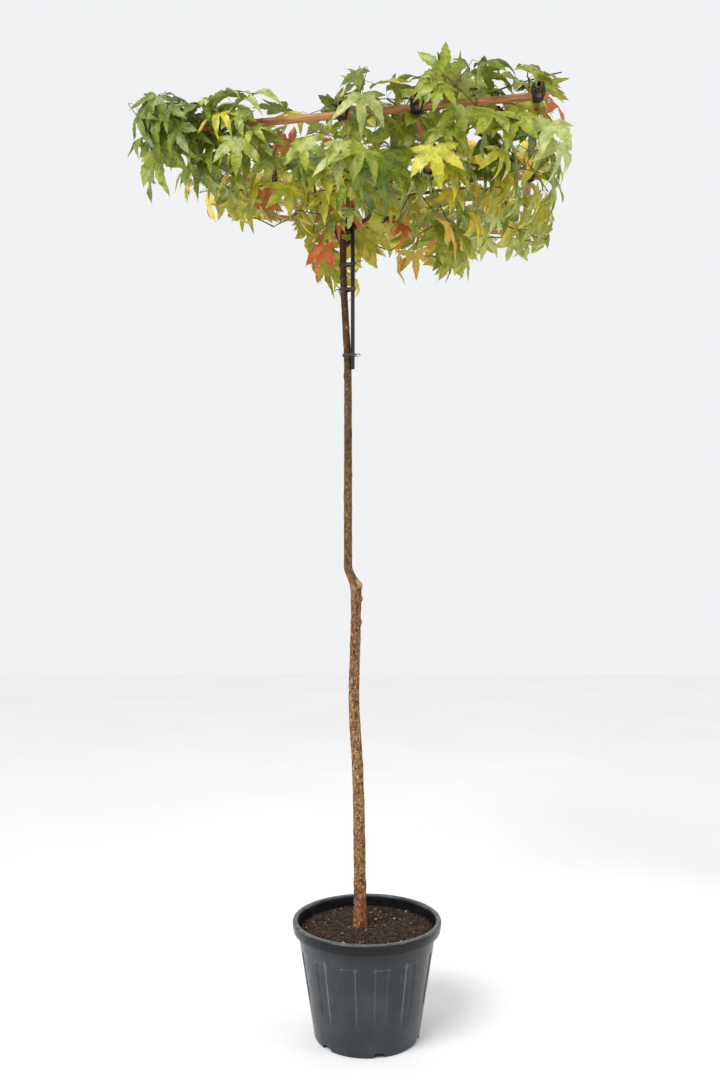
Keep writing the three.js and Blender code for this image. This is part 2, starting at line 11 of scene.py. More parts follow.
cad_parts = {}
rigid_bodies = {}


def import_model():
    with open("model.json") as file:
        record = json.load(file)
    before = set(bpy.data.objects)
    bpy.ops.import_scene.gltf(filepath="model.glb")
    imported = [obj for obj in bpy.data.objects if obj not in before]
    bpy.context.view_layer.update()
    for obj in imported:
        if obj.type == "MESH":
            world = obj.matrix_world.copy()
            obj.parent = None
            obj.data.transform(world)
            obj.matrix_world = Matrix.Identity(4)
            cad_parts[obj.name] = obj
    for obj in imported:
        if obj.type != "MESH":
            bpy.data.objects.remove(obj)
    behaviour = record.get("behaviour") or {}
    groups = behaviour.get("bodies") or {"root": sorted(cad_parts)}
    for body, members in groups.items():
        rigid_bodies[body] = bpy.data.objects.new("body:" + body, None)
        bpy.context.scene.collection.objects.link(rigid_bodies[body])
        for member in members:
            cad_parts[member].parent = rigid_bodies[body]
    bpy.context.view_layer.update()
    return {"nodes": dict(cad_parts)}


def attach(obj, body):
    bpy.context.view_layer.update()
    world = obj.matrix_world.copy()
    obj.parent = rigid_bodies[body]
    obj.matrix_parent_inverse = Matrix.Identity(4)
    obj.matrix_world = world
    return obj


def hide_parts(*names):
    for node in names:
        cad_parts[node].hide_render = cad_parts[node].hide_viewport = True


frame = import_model()
noise.seed_set(7)  # noise_vector shifts its pattern by this
scene = bpy.context.scene
nodeNames = sorted(frame["nodes"])


def namesWith(start):
    return [name for name in nodeNames if name.startswith(start)]


# small sums used all over

def ease(start, end, value):
    t = min(max((value - start) / (end - start), 0), 1)
    return t * t * (3 - 2 * t)


def bump(centre, spread, value):
    return math.exp(-(((value - centre) / spread) ** 2))


def mix(start, end, share):
    return start + (end - start) * share


def colour(red, green, blue):  # screen colour 0-255 to the shader's linear colour
    def channel(value):
        value /= 255
        return value / 12.92 if value <= 0.04045 else ((value + 0.055) / 1.055) ** 2.4
    return channel(red), channel(green), channel(blue), 1


def curvePoint(start, bend, end, t):
    return start * (1 - t) ** 2 + bend * (2 * t * (1 - t)) + end * t * t


def circleTurns(count):
    return [i / count * 2 * math.pi for i in range(count)]


def ringTurns(reach, count):  # a ring of no reach is one point
    return circleTurns(count) if reach else [0]


# objects and meshes

def addObject(name, data):
    made = bpy.data.objects.new(name, data)
    scene.collection.objects.link(made)
    return made


def addPiece(name, mesh, materials, cadNodes):
    piece = addObject(name, mesh)
    if materials:
        mesh.materials.clear()
        for material in materials:
            mesh.materials.append(material)
    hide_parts(*cadNodes)
    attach(piece, "root")
    print("piece", name, len(mesh.polygons), "faces")
    return piece


def newMesh(name, points, faces, smooth=True):
    mesh = bpy.data.meshes.new(name)
    mesh.from_pydata([tuple(point) for point in points], [], faces)
    mesh.update()
    mesh.polygons.foreach_set("use_smooth", [smooth] * len(mesh.polygons))
    return mesh


def setAttribute(mesh, name, kind, values):
    layer = mesh.attributes.new(name, kind, "POINT")
    field = "vector" if kind == "FLOAT_VECTOR" else "value"
    layer.data.foreach_set(field, np.array(values, np.int32 if kind == "INT" else np.float32).ravel())


def joinMeshes(name, meshes):
    joined = bmesh.new()
    for mesh in meshes:
        joined.from_mesh(mesh)
    result = bpy.data.meshes.new(name)
    joined.to_mesh(result)
    joined.free()
    return result


# the mesh of an object with its modifiers on; the object and its helpers are then dropped
def bakedMesh(carrier, *helpers):
    mesh = bpy.data.meshes.new_from_object(carrier.evaluated_get(bpy.context.evaluated_depsgraph_get()))
    for used in (carrier, *helpers):
        bpy.data.objects.remove(used)
    return mesh


# rings of points joined into one closed skin; a ring of one point is a pole
def skinRings(rings):
    points = []
    starts = []
    for ring in rings:
        starts.append(len(points))
        points.extend(ring)
    faces = []
    for index in range(len(rings) - 1):
        low, high = starts[index], starts[index + 1]
        lowCount, highCount = len(rings[index]), len(rings[index + 1])
        count = max(lowCount, highCount)
        for side in range(count):
            after = (side + 1) % count
            if lowCount == 1:
                faces.append((low, high + after, high + side))
            elif highCount == 1:
                faces.append((low + side, low + after, high))
            else:
                faces.append((low + side, low + after, high + after, high + side))
    return points, faces


# node trees: tubes that follow paths, and shapes set out on points

# adds a node and gives back one of its outputs; inputs are other nodes' outputs or plain values
def addNode(tree, kind, inputs=None, output=0, **settings):
    node = tree.nodes.new(kind)
    for label, value in settings.items():
        setattr(node, label, value)
    for label, value in (inputs or {}).items():
        if isinstance(value, bpy.types.NodeSocket):
            tree.links.new(value, node.inputs[label])
        else:
            node.inputs[label].default_value = value
    return node.outputs[output] if node.outputs else None


def newGroup(name, kind, inputs, result, resultKind):
    tree = bpy.data.node_groups.new(name, kind)
    for label, socketKind in inputs.items():
        tree.interface.new_socket(label, in_out="INPUT", socket_type="NodeSocket" + socketKind)
    tree.interface.new_socket(result, in_out="OUTPUT", socket_type="NodeSocket" + resultKind)
    return tree, tree.nodes.new("NodeGroupInput").outputs


def fieldOf(tree, name, kind):
    return addNode(tree, "GeometryNodeInputNamedAttribute", {"Name": name}, data_type=kind)


def makePathTubes():
    inputs = {"Geometry": "Geometry", "Sides": "Int", "Material": "Material"}
    tree, given = newGroup("pathTubes", "GeometryNodeTree", inputs, "Geometry", "Geometry")
    curve = addNode(tree, "GeometryNodeMeshToCurve", {"Mesh": given["Geometry"]})
    ring = addNode(tree, "GeometryNodeCurvePrimitiveCircle", {"Resolution": given["Sides"], "Radius": 1})
    swept = addNode(tree, "GeometryNodeCurveToMesh", {
        "Curve": curve, "Profile Curve": ring, "Scale": fieldOf(tree, "thick", "FLOAT"), "Fill Caps": True})
    smooth = addNode(tree, "GeometryNodeSetShadeSmooth", {"Geometry": swept})
    whole = addNode(tree, "GeometryNodeRealizeInstances", {"Geometry": smooth})
    painted = addNode(tree, "GeometryNodeSetMaterial", {"Geometry": whole, "Material": given["Material"]})
    addNode(tree, "NodeGroupOutput", {"Geometry": painted})
    return tree


def makeSetOut():
    inputs = {"Geometry": "Geometry", "Shapes": "Collection", "Material": "Material",
              "Underside": "Material"}
    tree, given = newGroup("setOut", "GeometryNodeTree", inputs, "Geometry", "Geometry")
    shapes = addNode(tree, "GeometryNodeCollectionInfo", {
        "Collection": given["Shapes"], "Separate Children": True, "Reset Children": True})
    turn = addNode(tree, "FunctionNodeEulerToRotation", {"Euler": fieldOf(tree, "turn", "FLOAT_VECTOR")})
    spread = addNode(tree, "GeometryNodeInstanceOnPoints", {
        "Points": given["Geometry"], "Instance": shapes, "Pick Instance": True,
        "Instance Index": fieldOf(tree, "shape", "INT"), "Rotation": turn,
        "Scale": fieldOf(tree, "size", "FLOAT_VECTOR")})
    whole = addNode(tree, "GeometryNodeRealizeInstances", {"Geometry": spread})
    painted = addNode(tree, "GeometryNodeSetMaterial", {"Geometry": whole, "Material": given["Material"]})
    lined = addNode(tree, "GeometryNodeSetMaterial", {
        "Geometry": painted, "Selection": fieldOf(tree, "underside", "BOOLEAN"),
        "Material": given["Underside"]})
    addNode(tree, "NodeGroupOutput", {"Geometry": lined})
    return tree


# soft patches from noise, as one group that the materials share
def makePatchNoise():
    look = ("Scale", "Detail", "Roughness")
    inputs = {"Vector": "Vector", **dict.fromkeys((*look, "Low", "High", "Least", "Most"), "Float")}
    tree, given = newGroup("patchNoise", "ShaderNodeTree", inputs, "Share", "Float")
    value = addNode(tree, "ShaderNodeTexNoise", {label: given[label] for label in ("Vector", *look)})
    share = addNode(tree, "ShaderNodeMapRange", {
        "Value": value, "From Min": given["Low"], "From Max": given["High"],
        "To Min": given["Least"], "To Max": given["Most"]}, interpolation_type="SMOOTHSTEP")
    addNode(tree, "NodeGroupOutput", {"Share": share})
    return tree


pathTubes = makePathTubes()
setOut = makeSetOut()
patchNoise = makePatchNoise()


# runs a node tree on a mesh and returns the plain result
def evaluated(mesh, tree, values):
    carrier = addObject("carrier", mesh)
    modifier = carrier.modifiers.new("build", "NODES")
    modifier.node_group = tree
    for item in tree.interface.items_tree:
        if item.item_type == "SOCKET" and item.in_out == "INPUT" and item.name in values:
            modifier[item.identifier] = values[item.name]
    return bakedMesh(carrier)


# paths are (points, radii) pairs; closed ones run back to their first point
def tubes(name, paths, sides, material, closed=False):
    points, edges, thick = [], [], []
    for path, radii in paths:
        first, last = len(points), len(points) + len(path) - 1
        points.extend(path)
        thick.extend(radii)
        edges.extend((i, i + 1) for i in range(first, last))
        if closed:
            edges.append((last, first))
    mesh = bpy.data.meshes.new(name)
    mesh.from_pydata([tuple(point) for point in points], edges, [])
    setAttribute(mesh, "thick", "FLOAT", thick)
    return evaluated(mesh, pathTubes, {"Sides": sides, "Material": material})


def evenly(path, thick):
    return path, [thick] * len(path)


# seats are (place, turn matrix, size, shape number)
def setOutShapes(name, seats, shapes, material, underside=None):
    places, turns, sizes, numbers = zip(*seats)
    mesh = bpy.data.meshes.new(name)
    mesh.from_pydata([tuple(place) for place in places], [], [])
    setAttribute(mesh, "turn", "FLOAT_VECTOR", [tuple(turn.to_euler()) for turn in turns])
    setAttribute(mesh, "size", "FLOAT_VECTOR", [tuple(size) for size in sizes])
    setAttribute(mesh, "shape", "INT", numbers)
    return evaluated(mesh, setOut, {
        "Shapes": shapes, "Material": material, "Underside": underside or material})


def shapeCollection(name, meshes):
    collection = bpy.data.collections.new(name)
    for number, mesh in enumerate(meshes):
        collection.objects.link(bpy.data.objects.new(f"{name}_{number:02d}", mesh))
    return collection


def dropCollection(collection):
    for member in list(collection.objects):
        bpy.data.objects.remove(member)
    bpy.data.collections.remove(collection)


# a material, with the few steps that the materials here are made of
class Paint:
    def __init__(self, name, roughness, **fixed):
        self.material = bpy.data.materials.new(name)
        self.material.use_nodes = True
        self.tree = self.material.node_tree
        self.shader = self.tree.nodes["Principled BSDF"]
        self.place = self.add("TexCoord", {}, "Object")
        for label, value in {"Roughness": roughness, **fixed}.items():
            self.shader.inputs[label.replace("_", " ")].default_value = value

    def add(self, kind, inputs, output=0, **settings):
        return addNode(self.tree, "ShaderNode" + kind, inputs, output, **settings)

    def feed(self, label, value):
        self.tree.links.new(value, self.shader.inputs[label])

    def stretched(self, stretch):
        if stretch == 1:
            return self.place
        return self.add("Mapping", {"Vector": self.place, "Scale": (1, 1, stretch)})

    def height(self):
        return self.add("SeparateXYZ", {"Vector": self.place}, "Z")

    def attribute(self, name, output="Fac"):
        return self.add("Attribute", {}, output, attribute_name=name)

    def noise(self, scale, detail=3, roughness=0.55, stretch=1):
        return self.add("TexNoise", {"Vector": self.stretched(stretch), "Scale": scale,
                                     "Detail": detail, "Roughness": roughness})

    def patches(self, scale, low, high, detail=3, roughness=0.55, least=0.0, most=1.0, stretch=1):
        return self.add("Group", {"Vector": self.stretched(stretch), "Scale": scale, "Detail": detail,
                                  "Roughness": roughness, "Low": low, "High": high,
                                  "Least": least, "Most": most}, node_tree=patchNoise)

    def between(self, value, low, high, least=0.0, most=1.0, kind="SMOOTHSTEP"):
        return self.add("MapRange", {"Value": value, "From Min": low, "From Max": high,
                                     "To Min": least, "To Max": most}, interpolation_type=kind)

    def times(self, value, other):
        return self.add("Math", {0: value, 1: other}, operation="MULTIPLY")

    def blend(self, share, first, second):
        return self.add("Mix", {"Factor": share, 6: first, 7: second}, 2, data_type="RGBA")

    def ramp(self, value, stops):
        tint = self.add("ValToRGB", {"Fac": value})
        elements = tint.node.color_ramp.elements
        while len(elements) < len(stops):
            elements.new(0.5)
        for element, (place, *shade) in zip(elements, stops):
            element.position = place
            element.color = colour(*shade)
        return tint

    def bump(self, height, depth, strength=1.0):
        self.feed("Normal", self.add("Bump", {"Height": height, "Strength": strength, "Distance": depth}))


# two tints in patches, over a fine grain given as noise scale, detail, depth and strength
def twoTints(name, roughness, dark, light, patches, grain=None, **spread):
    paint = Paint(name, roughness)
    paint.feed("Base Color", paint.blend(paint.patches(*patches, **spread), colour(*dark), colour(*light)))
    if grain:
        scale, detail, depth, strength = grain
        paint.bump(paint.noise(scale, detail), depth, strength)
    return paint.material


# camera, floor and light

camera = addObject("camera", bpy.data.cameras.new("camera"))
camera.data.lens = 35.33
camera.data.sensor_width = 36
camera.location = (-0.022, -3.361, 1.565)
camera.rotation_euler = (math.radians(90), 0, 0)
scene.camera = camera
scene.view_settings.view_transform = "Standard"

studio = {
    "floorReach": 9.0, "floorTints": (colour(240, 240, 239), colour(237, 237, 237)),
    "airTint": colour(243, 244, 246), "airStrength": (0.64, 0.98),  # as light, and as the wall in view
    "sunFrom": (-0.55, -0.75, 1.0), "sunStrength": 1.85, "sunWidth": 30,
    # place, width, power in watts
    "lamps": [((-2.6, -2.0, 3.2), 1.6, 42), ((2.9, -1.4, 3.0), 1.8, 32), ((0.4, 2.6, 4.0), 2.6, 14),
              ((-2.2, 0.8, 1.0), 1.4, 12), ((2.2, 0.9, 1.0), 1.4, 12)],
    "lampsFace": Vector((0, 0, 1.6)),
}


def makeFloor():
    reach = studio["floorReach"]
    corners = [(-reach, -reach, 0), (reach, -reach, 0), (reach, reach, 0), (-reach, reach, 0)]
    mesh = newMesh("floor", corners, [(0, 1, 2, 3)], smooth=False)
    paint = Paint("floorPaint", 0.85)
    paint.feed("Base Color", paint.blend(paint.patches(1.2, 0.3, 0.7), *studio["floorTints"]))
    mesh.materials.append(paint.material)
    addObject("floor", mesh)


def makeAir():
    world = bpy.data.worlds.new("air")
    world.use_nodes = True
    tree = world.node_tree
    sky = tree.nodes["Background"]
    sky.inputs["Color"].default_value = studio["airTint"]
    asLight, asWall = studio["airStrength"]
    seen = addNode(tree, "ShaderNodeLightPath", output="Is Camera Ray")
    strength = addNode(tree, "ShaderNodeMapRange", {"Value": seen, "To Min": asLight, "To Max": asWall})
    tree.links.new(strength, sky.inputs["Strength"])
    scene.world = world


def makeLights():
    sun = addObject("sun", bpy.data.lights.new("sun", "SUN"))
    sun.data.energy = studio["sunStrength"]
    sun.data.angle = math.radians(studio["sunWidth"])
    sun.rotation_euler = Vector(studio["sunFrom"]).to_track_quat("Z", "Y").to_euler()
    for number, (place, width, power) in enumerate(studio["lamps"]):
        lamp = addObject(f"lamp{number}", bpy.data.lights.new(f"lamp{number}", "AREA"))
        lamp.data.shape = "DISK"
        lamp.data.size = width
        lamp.data.energy = power
        lamp.location = place
        lamp.rotation_euler = (studio["lampsFace"] - Vector(place)).to_track_quat("-Z", "Y").to_euler()


makeFloor()
makeAir()
makeLights()
print("studio ready")


# pot

pot = {
    "height": 0.368, "rimRadius": 0.2355, "mouthRadius": 0.2175,
    "baseRadius": 0.1655, "shoulderRadius": 0.218, "rimFoot": 0.332,
    "wall": 0.0045, "floor": 0.006,
    "flutes": 13, "firstFlute": -15.6, "fluteHalf": 5.9, "fluteRound": 1.2, "fluteDepth": 0.0028,
    "fluteTop": 0.282, "fluteFade": (0.075, 0.15),
    "notches": 6, "notchWidth": 0.036, "notchHeight": 0.0145,
}


def wallRadius(height):
    return mix(pot["baseRadius"], pot["shoulderRadius"], height / pot["rimFoot"])


# degrees from the front, growing towards +X
def turnOf(x, y):
    return math.degrees(math.atan2(x, -y))


def fluteOffset(turn):  # degrees from the middle of the nearest flute
    step = 360 / pot["flutes"]
    return (turn - pot["firstFlute"] + step / 2) % step - step / 2


def fluteDepthAt(turn, height):
    inside = 1 - ease(pot["fluteHalf"] - pot["fluteRound"], pot["fluteHalf"], abs(fluteOffset(turn)))
    below = 1 - ease(pot["fluteTop"] - 0.0015, pot["fluteTop"], height)
    return pot["fluteDepth"] * inside * below * ease(*pot["fluteFade"], height)


def potColumns():
    half = pot["fluteHalf"]
    step = 360 / pot["flutes"]
    edge = [half - pot["fluteRound"] * share / 4 for share in range(5)]
    offsets = [-offset for offset in edge] + [-3, -1, 1, 3] + edge[::-1]
    offsets += [mix(half + 0.4, step - half - 0.4, share / 8) for share in range(9)]
    return [pot["firstFlute"] + i * step + offset for i in range(pot["flutes"]) for offset in offsets]


def potProfile():
    top = pot["height"]
    rim = pot["rimRadius"]
    mouth = pot["mouthRadius"]
    foot = pot["rimFoot"]
    outside = [(0, 0.004), (0.12, 0.004), (0.124, 0), (pot["baseRadius"] - 0.004, 0),
               (pot["baseRadius"] - 0.001, 0.0012), (wallRadius(0.005), 0.005)]
    heights = [0.012 + 0.0135 * i for i in range(20)]
    steps = (-0.004, -0.0016, 0, 0.0014, 0.014, 0.028, 0.040, 0.0465)
    heights += [pot["fluteTop"] + step for step in steps]
    outside += [(wallRadius(height), height) for height in heights]
    roll = [(wallRadius(foot) + 0.001, foot - 0.0015), (rim - 0.009, foot - 0.001),
            (rim - 0.0045, foot + 0.0005), (rim - 0.003, foot + 0.003), (rim - 0.0016, foot + 0.013),
            (rim - 0.0002, top - 0.011), (rim, top - 0.0075), (rim - 0.0012, top - 0.0035),
            (rim - 0.0042, top - 0.0008), (rim - 0.008, top), (mouth + 0.004, top - 0.0008),
            (mouth + 0.001, top - 0.004), (mouth, top - 0.01)]
    heights = (0.318, 0.30, 0.25, 0.15, pot["floor"])
    inside = [(wallRadius(height) - pot["wall"], height) for height in heights]
    return outside + roll + inside + [(0, pot["floor"])]


def notchCutters():
    points, faces = [], []
    half, high = pot["notchWidth"] / 2, pot["notchHeight"]
    outline = [(-half, -0.01), (-half, high * 0.5), (-half * 0.8, high * 0.9), (-half * 0.55, high),
               (half * 0.55, high), (half * 0.8, high * 0.9), (half, high * 0.5), (half, -0.01)]
    count = len(outline)
    for i in range(pot["notches"]):
        turn = math.radians(pot["firstFlute"] + 360 / pot["flutes"] + i * 360 / pot["notches"])
        out = Vector((math.sin(turn), -math.cos(turn), 0))
        side = Vector((math.cos(turn), math.sin(turn), 0))
        first = len(points)
        for reach in (pot["baseRadius"] - 0.028, pot["baseRadius"] + 0.02):
            points.extend(out * reach + side * across + Vector((0, 0, up)) for across, up in outline)
        faces.append(tuple(first + j for j in range(count)))
        faces.append(tuple(first + count + j for j in reversed(range(count))))
        for j in range(count):
            after = (j + 1) % count
            faces.append((first + after, first + j, first + count + j, first + count + after))
    mesh = newMesh("notchCutters", points, faces)
    body = bmesh.new()
    body.from_mesh(mesh)
    bmesh.ops.recalc_face_normals(body, faces=body.faces)
    body.to_mesh(mesh)
    body.free()
    return mesh


def potMaterial():
    paint = Paint("potPlastic", 0.42, Specular_IOR_Level=0.28)
    cloudy = paint.patches(9, 0.35, 0.75, 4)
    plain = paint.blend(cloudy, colour(45, 49, 53), colour(59, 63, 66))
    streaks = paint.patches(70, 0.55, 0.8, 4, 0.6, most=0.25, stretch=0.12)
    dusty = paint.blend(streaks, plain, colour(100, 101, 100))
    underRim = paint.between(paint.height(), pot["rimFoot"] - 0.006, pot["rimFoot"] + 0.004)
    clean = paint.blend(underRim, dusty, colour(14, 15, 18))
    # pale marks on the flutes' edges, steps and rim: a dusting, and along the flutes' front edges a painted
    # highlight
    edges = paint.times(paint.attribute("dustAndHighlight"), paint.patches(60, 0.2, 0.65, least=0.15, most=0.5))
    dustedAndLit = paint.blend(edges, clean, colour(164, 166, 164))
    specks = paint.patches(420, 0.71, 0.76, 2, 0.7, most=0.5)
    paint.feed("Base Color", paint.blend(specks, dustedAndLit, colour(140, 136, 126)))
    paint.feed("Roughness", paint.patches(26, 0.3, 0.75, 5, least=0.22, most=0.36))
    paint.bump(paint.noise(900, 2), 0.00015, 0.5)
    return paint.material


# how far pale marks cover a point of the shell: along the flutes' edges a dusting, with a painted highlight
# on the edge nearer the front; a dusting on the steps; and a pale line on the rim's top
def dustAndHighlightAt(x, y, z):
    turn = turnOf(x, y)
    offset = fluteOffset(turn)
    # on the flute edge nearer the front the pale line is a painted highlight, strongest some 46 degrees from
    # the front; on the other edge it is a faint dusting
    edgeDustAndHighlight = 0.4 + 1.6 * bump(46, 18, abs(turn)) if offset * turn < 0 else 0.12
    onEdge = edgeDustAndHighlight * bump(pot["fluteHalf"] - 0.5, 0.5, abs(offset)) * ease(*pot["fluteFade"], z)
    onStep = 0.8 * bump(pot["fluteTop"] - 0.0008, 0.0012, z) * (abs(offset) < pot["fluteHalf"] + 0.5)
    outside = math.hypot(x, y) > wallRadius(z) - 0.003 and 0.05 < z < pot["fluteTop"] + 0.004
    return max(onEdge, onStep) if outside else 0.7 * bump(pot["height"], 0.003, z)


def potRing(radius, height):
    if radius == 0:
        return [Vector((0, 0, height))]
    fluted = radius >= wallRadius(height) - 0.001 and 0.005 < height < pot["rimFoot"] - 0.003
    ring = []
    for turn in map(math.radians, potColumns()):
        reach = radius - (fluteDepthAt(math.degrees(turn), height) if fluted else 0)
        ring.append(Vector((reach * math.sin(turn), -reach * math.cos(turn), height)))
    return ring


def makePot():
    points, faces = skinRings([potRing(radius, height) for radius, height in potProfile()])
    shell = addObject("potDraft", newMesh("potDraft", points, faces))
    cut = shell.modifiers.new("notches", "BOOLEAN")
    cut.object = addObject("notchCutters", notchCutters())
    cut.solver = "EXACT"
    mesh = bakedMesh(shell, cut.object)
    mesh.set_sharp_from_angle(angle=math.radians(48))
    setAttribute(mesh, "dustAndHighlight", "FLOAT", [dustAndHighlightAt(*vertex.co) for vertex in mesh.vertices])
    addPiece("potShell", mesh, [potMaterial()], ["pot"])


makePot()


# soil

soil = {
    "edgeHeight": 0.331, "crownHeight": 0.337, "foot": 0.3, "reach": 0.2125, "rough": 0.0042,
    "sides": 120, "rings": 45, "ringGap": 0.0047, "shapes": 5, "jagged": 0.7, "seed": 5,
    "crumbs": 5200, "crumbSize": (0.0016, 0.0058), "crumbFlat": 0.5,
    "chips": 230, "chipSize": (0.0012, 0.0050), "chipFlat": 0.3,
}


def soilLevel(x, y):
    radius = math.hypot(x, y)
    mound = mix(soil["crownHeight"], soil["edgeHeight"], ease(0.05, soil["reach"], radius))
    heap = 0.006 * bump(0, 0.035, math.hypot(x + 0.022, y))  # round the trunk's foot
    lumps = noise.fractal(Vector((x, y, 0.3)) * 34, 1.0, 2.1, 4) * soil["rough"]
    sag = -0.004 * ease(0.15, 0.21, radius) * (0.5 + 0.5 * noise.noise(Vector((x * 9, y * 9, 4))))
    return mound + heap + lumps + sag


def crumbShape(seed):
    body = bmesh.new()
    bmesh.ops.create_icosphere(body, subdivisions=1, radius=1)
    dice = random.Random(seed)
    for vertex in body.verts:
        vertex.co *= 1 + soil["jagged"] * (dice.random() - 0.5)
    mesh = bpy.data.meshes.new("crumb")
    body.to_mesh(mesh)
    body.free()
    return mesh


def scatterSeats(count, size, flat, dice):
    seats = []
    for _ in range(count):
        radius = soil["reach"] * math.sqrt(dice.random())
        turn = dice.random() * 2 * math.pi
        x, y = radius * math.cos(turn), radius * math.sin(turn)
        wide = mix(*size, dice.random() ** 3)
        stretch = Vector((wide, wide * mix(0.5, 1, dice.random()), wide * mix(flat, 0.9, dice.random())))
        place = Vector((x, y, soilLevel(x, y) + stretch.z * 0.3))
        spin = Euler([dice.random() * 6.3 for _ in range(3)]).to_matrix()
        seats.append((place, spin, stretch, dice.randrange(soil["shapes"])))
    return seats


def soilMaterial():
    paint = Paint("soilCrumbs", 0.95, Specular_IOR_Level=0.2)
    dark = paint.blend(paint.patches(130, 0.3, 0.72, 3, 0.6), colour(28, 21, 19), colour(84, 66, 55))
    red = paint.patches(35, 0.5, 0.75, 2, most=0.5)
    paint.feed("Base Color", paint.blend(red, dark, colour(92, 66, 48)))
    paint.bump(paint.noise(700), 0.0006)
    return paint.material


# the bed is closed below by a flat ring and a short wall
def soilBed():
    foot, reach = soil["foot"], soil["reach"]
    rings = [[Vector((0, 0, foot))]]
    for radius, level in ((reach - 0.0030, foot), (reach - 0.0015, foot + 0.015)):
        rings.append([Vector((radius * math.cos(turn), radius * math.sin(turn), level))
                      for turn in circleTurns(soil["sides"])])
    for step in range(soil["rings"]):
        radius = reach - soil["ringGap"] * step
        spots = [(radius * math.cos(turn), radius * math.sin(turn)) for turn in circleTurns(soil["sides"])]
        rings.append([Vector((x, y, soilLevel(x, y))) for x, y in spots])
    rings.append([Vector((0, 0, soilLevel(0, 0)))])
    return newMesh("soilBed", *skinRings(rings))


def makeSoil():
    dice = random.Random(soil["seed"])
    shapes = shapeCollection("crumbShape", [crumbShape(i) for i in range(soil["shapes"])])
    material = soilMaterial()
    seats = scatterSeats(soil["crumbs"], soil["crumbSize"], soil["crumbFlat"], dice)
    crumbs = setOutShapes("crumbs", seats, shapes, material)
    bed = joinMeshes("potSoil", [soilBed(), crumbs])
    addPiece("potSoil", bed, [material], ["soil"])
    chipMaterial = twoTints("soilChips", 0.8, (196, 184, 150), (120, 108, 74), (60, 0.35, 0.65, 2))
    seats = scatterSeats(soil["chips"], soil["chipSize"], soil["chipFlat"], dice)
    chips = setOutShapes("chips", seats, shapes, chipMaterial)
    addPiece("soilChips", chips, [chipMaterial], ["soil"])
    dropCollection(shapes)


makeSoil()


# trunk

trunk = {
    "foot": 0.3363, "top": 2.640, "graft": 1.440, "footX": -0.022,
    "lean": -0.012, "bow": (-0.010, 1.060, 0.190), "graftStep": (-0.026, 0.035, 0.045),
    "upperLean": (-0.016, 2.050, 2.480), "headTurn": (0.009, 2.540), "weave": (0.004, 0.330),
    "footRadius": 0.0194, "belowGraft": 0.0160, "aboveGraft": 0.0132, "headHeight": 2.5,
    "headRadius": 0.0110, "topRadius": 0.0082, "flare": (0.0045, 0.03), "swelling": (0.0018, 0.032, 0.034),
    "sides": 44, "ringGap": 0.0030, "roughLow": 0.0013, "roughHigh": 0.00070,
    # height, degrees from the front, rise, half height, half width in degrees
    "knobs": [
        (1.428, 62, 0.0085, 0.013, 34), (1.412, 5, 0.0022, 0.010, 50), (1.378, 80, 0.0052, 0.009, 26),
        (1.305, 78, 0.0056, 0.008, 26), (1.262, -10, 0.0012, 0.014, 34), (1.062, -5, 0.0013, 0.004, 70),
        (1.074, 12, 0.0011, 0.003, 60), (0.852, 60, 0.0024, 0.012, 30), (0.640, -70, 0.0022, 0.010, 30),
        (0.470, 70, 0.0020, 0.012, 34), (0.425, 150, 0.0026, 0.012, 34), (0.940, 160, 0.0026, 0.012, 30),
        (1.180, -150, 0.0024, 0.012, 30), (2.355, -80, 0.0055, 0.007, 32), (2.348, -80, 0.0030, 0.010, 40),
        (2.235, 40, 0.0034, 0.008, 30), (2.085, -85, 0.0026, 0.010, 30), (1.985, -60, 0.0014, 0.006, 50),
        (1.900, 70, 0.0018, 0.008, 34), (1.770, 80, 0.0018, 0.008, 34), (1.700, -88, 0.0012, 0.012, 40),
        (1.560, 150, 0.0020, 0.010, 30), (1.860, -150, 0.0022, 0.010, 30), (2.160, 170, 0.0024, 0.010, 30),
    ],
    "hole": (1.212, -4, 0.0026, 0.0048, 17),  # a healed knot with a dark middle; the dark is painted shade in its hollow
}


def trunkAxis(height):
    graft = trunk["graft"]
    bow, bowHeight, bowSpread = trunk["bow"]
    step, below, above = trunk["graftStep"]
    upper, upperFoot, upperTop = trunk["upperLean"]
    head, headFoot = trunk["headTurn"]
    weave, rise = trunk["weave"]
    x = trunk["footX"] + trunk["lean"] * ease(trunk["foot"], graft, height)
    x = x + bow * bump(bowHeight, bowSpread, height) + step * ease(graft - below, graft + above, height)
    x = x + upper * ease(upperFoot, upperTop, height) + head * ease(headFoot, trunk["top"], height)
    return Vector((x, weave * math.sin(height / rise), height))


def trunkRadius(height):
    graft, headHeight = trunk["graft"], trunk["headHeight"]
    flare, fade = trunk["flare"]
    swelling, drop, spread = trunk["swelling"]
    lower = mix(trunk["footRadius"], trunk["belowGraft"], ease(trunk["foot"], graft, height))
    upper = mix(trunk["aboveGraft"], trunk["headRadius"], ease(graft, headHeight, height))
    upper += (trunk["topRadius"] - trunk["headRadius"]) * ease(headHeight, trunk["top"], height)
    radius = mix(lower, upper, ease(graft - 0.030, graft + 0.060, height))
    return (radius + flare * math.exp(-(height - trunk["foot"]) / fade)
            + swelling * bump(graft - drop, spread, height))


def turnApart(one, other):
    return abs((one - other + 180) % 360 - 180)


def roughness(height):
    return mix(trunk["roughLow"], trunk["roughHigh"], ease(1.38, 1.50, height))


def barkRelief(turn, height):
    angle = math.radians(turn)
    around = Vector((math.sin(angle), -math.cos(angle), 0))
    coarse = noise.fractal(around * 1.3 + Vector((0, 0, height * 26)), 0.9, 2.2, 4)
    warts = max(0, noise.noise(around * 3.6 + Vector((5, 0, height * 150))) - 0.25)
    furrow = abs(noise.noise(around * 4.2 + Vector((0, 7, height * 22))))
    return (coarse + 2.2 * warts - 5 * max(0, 0.16 - furrow)) * roughness(height)


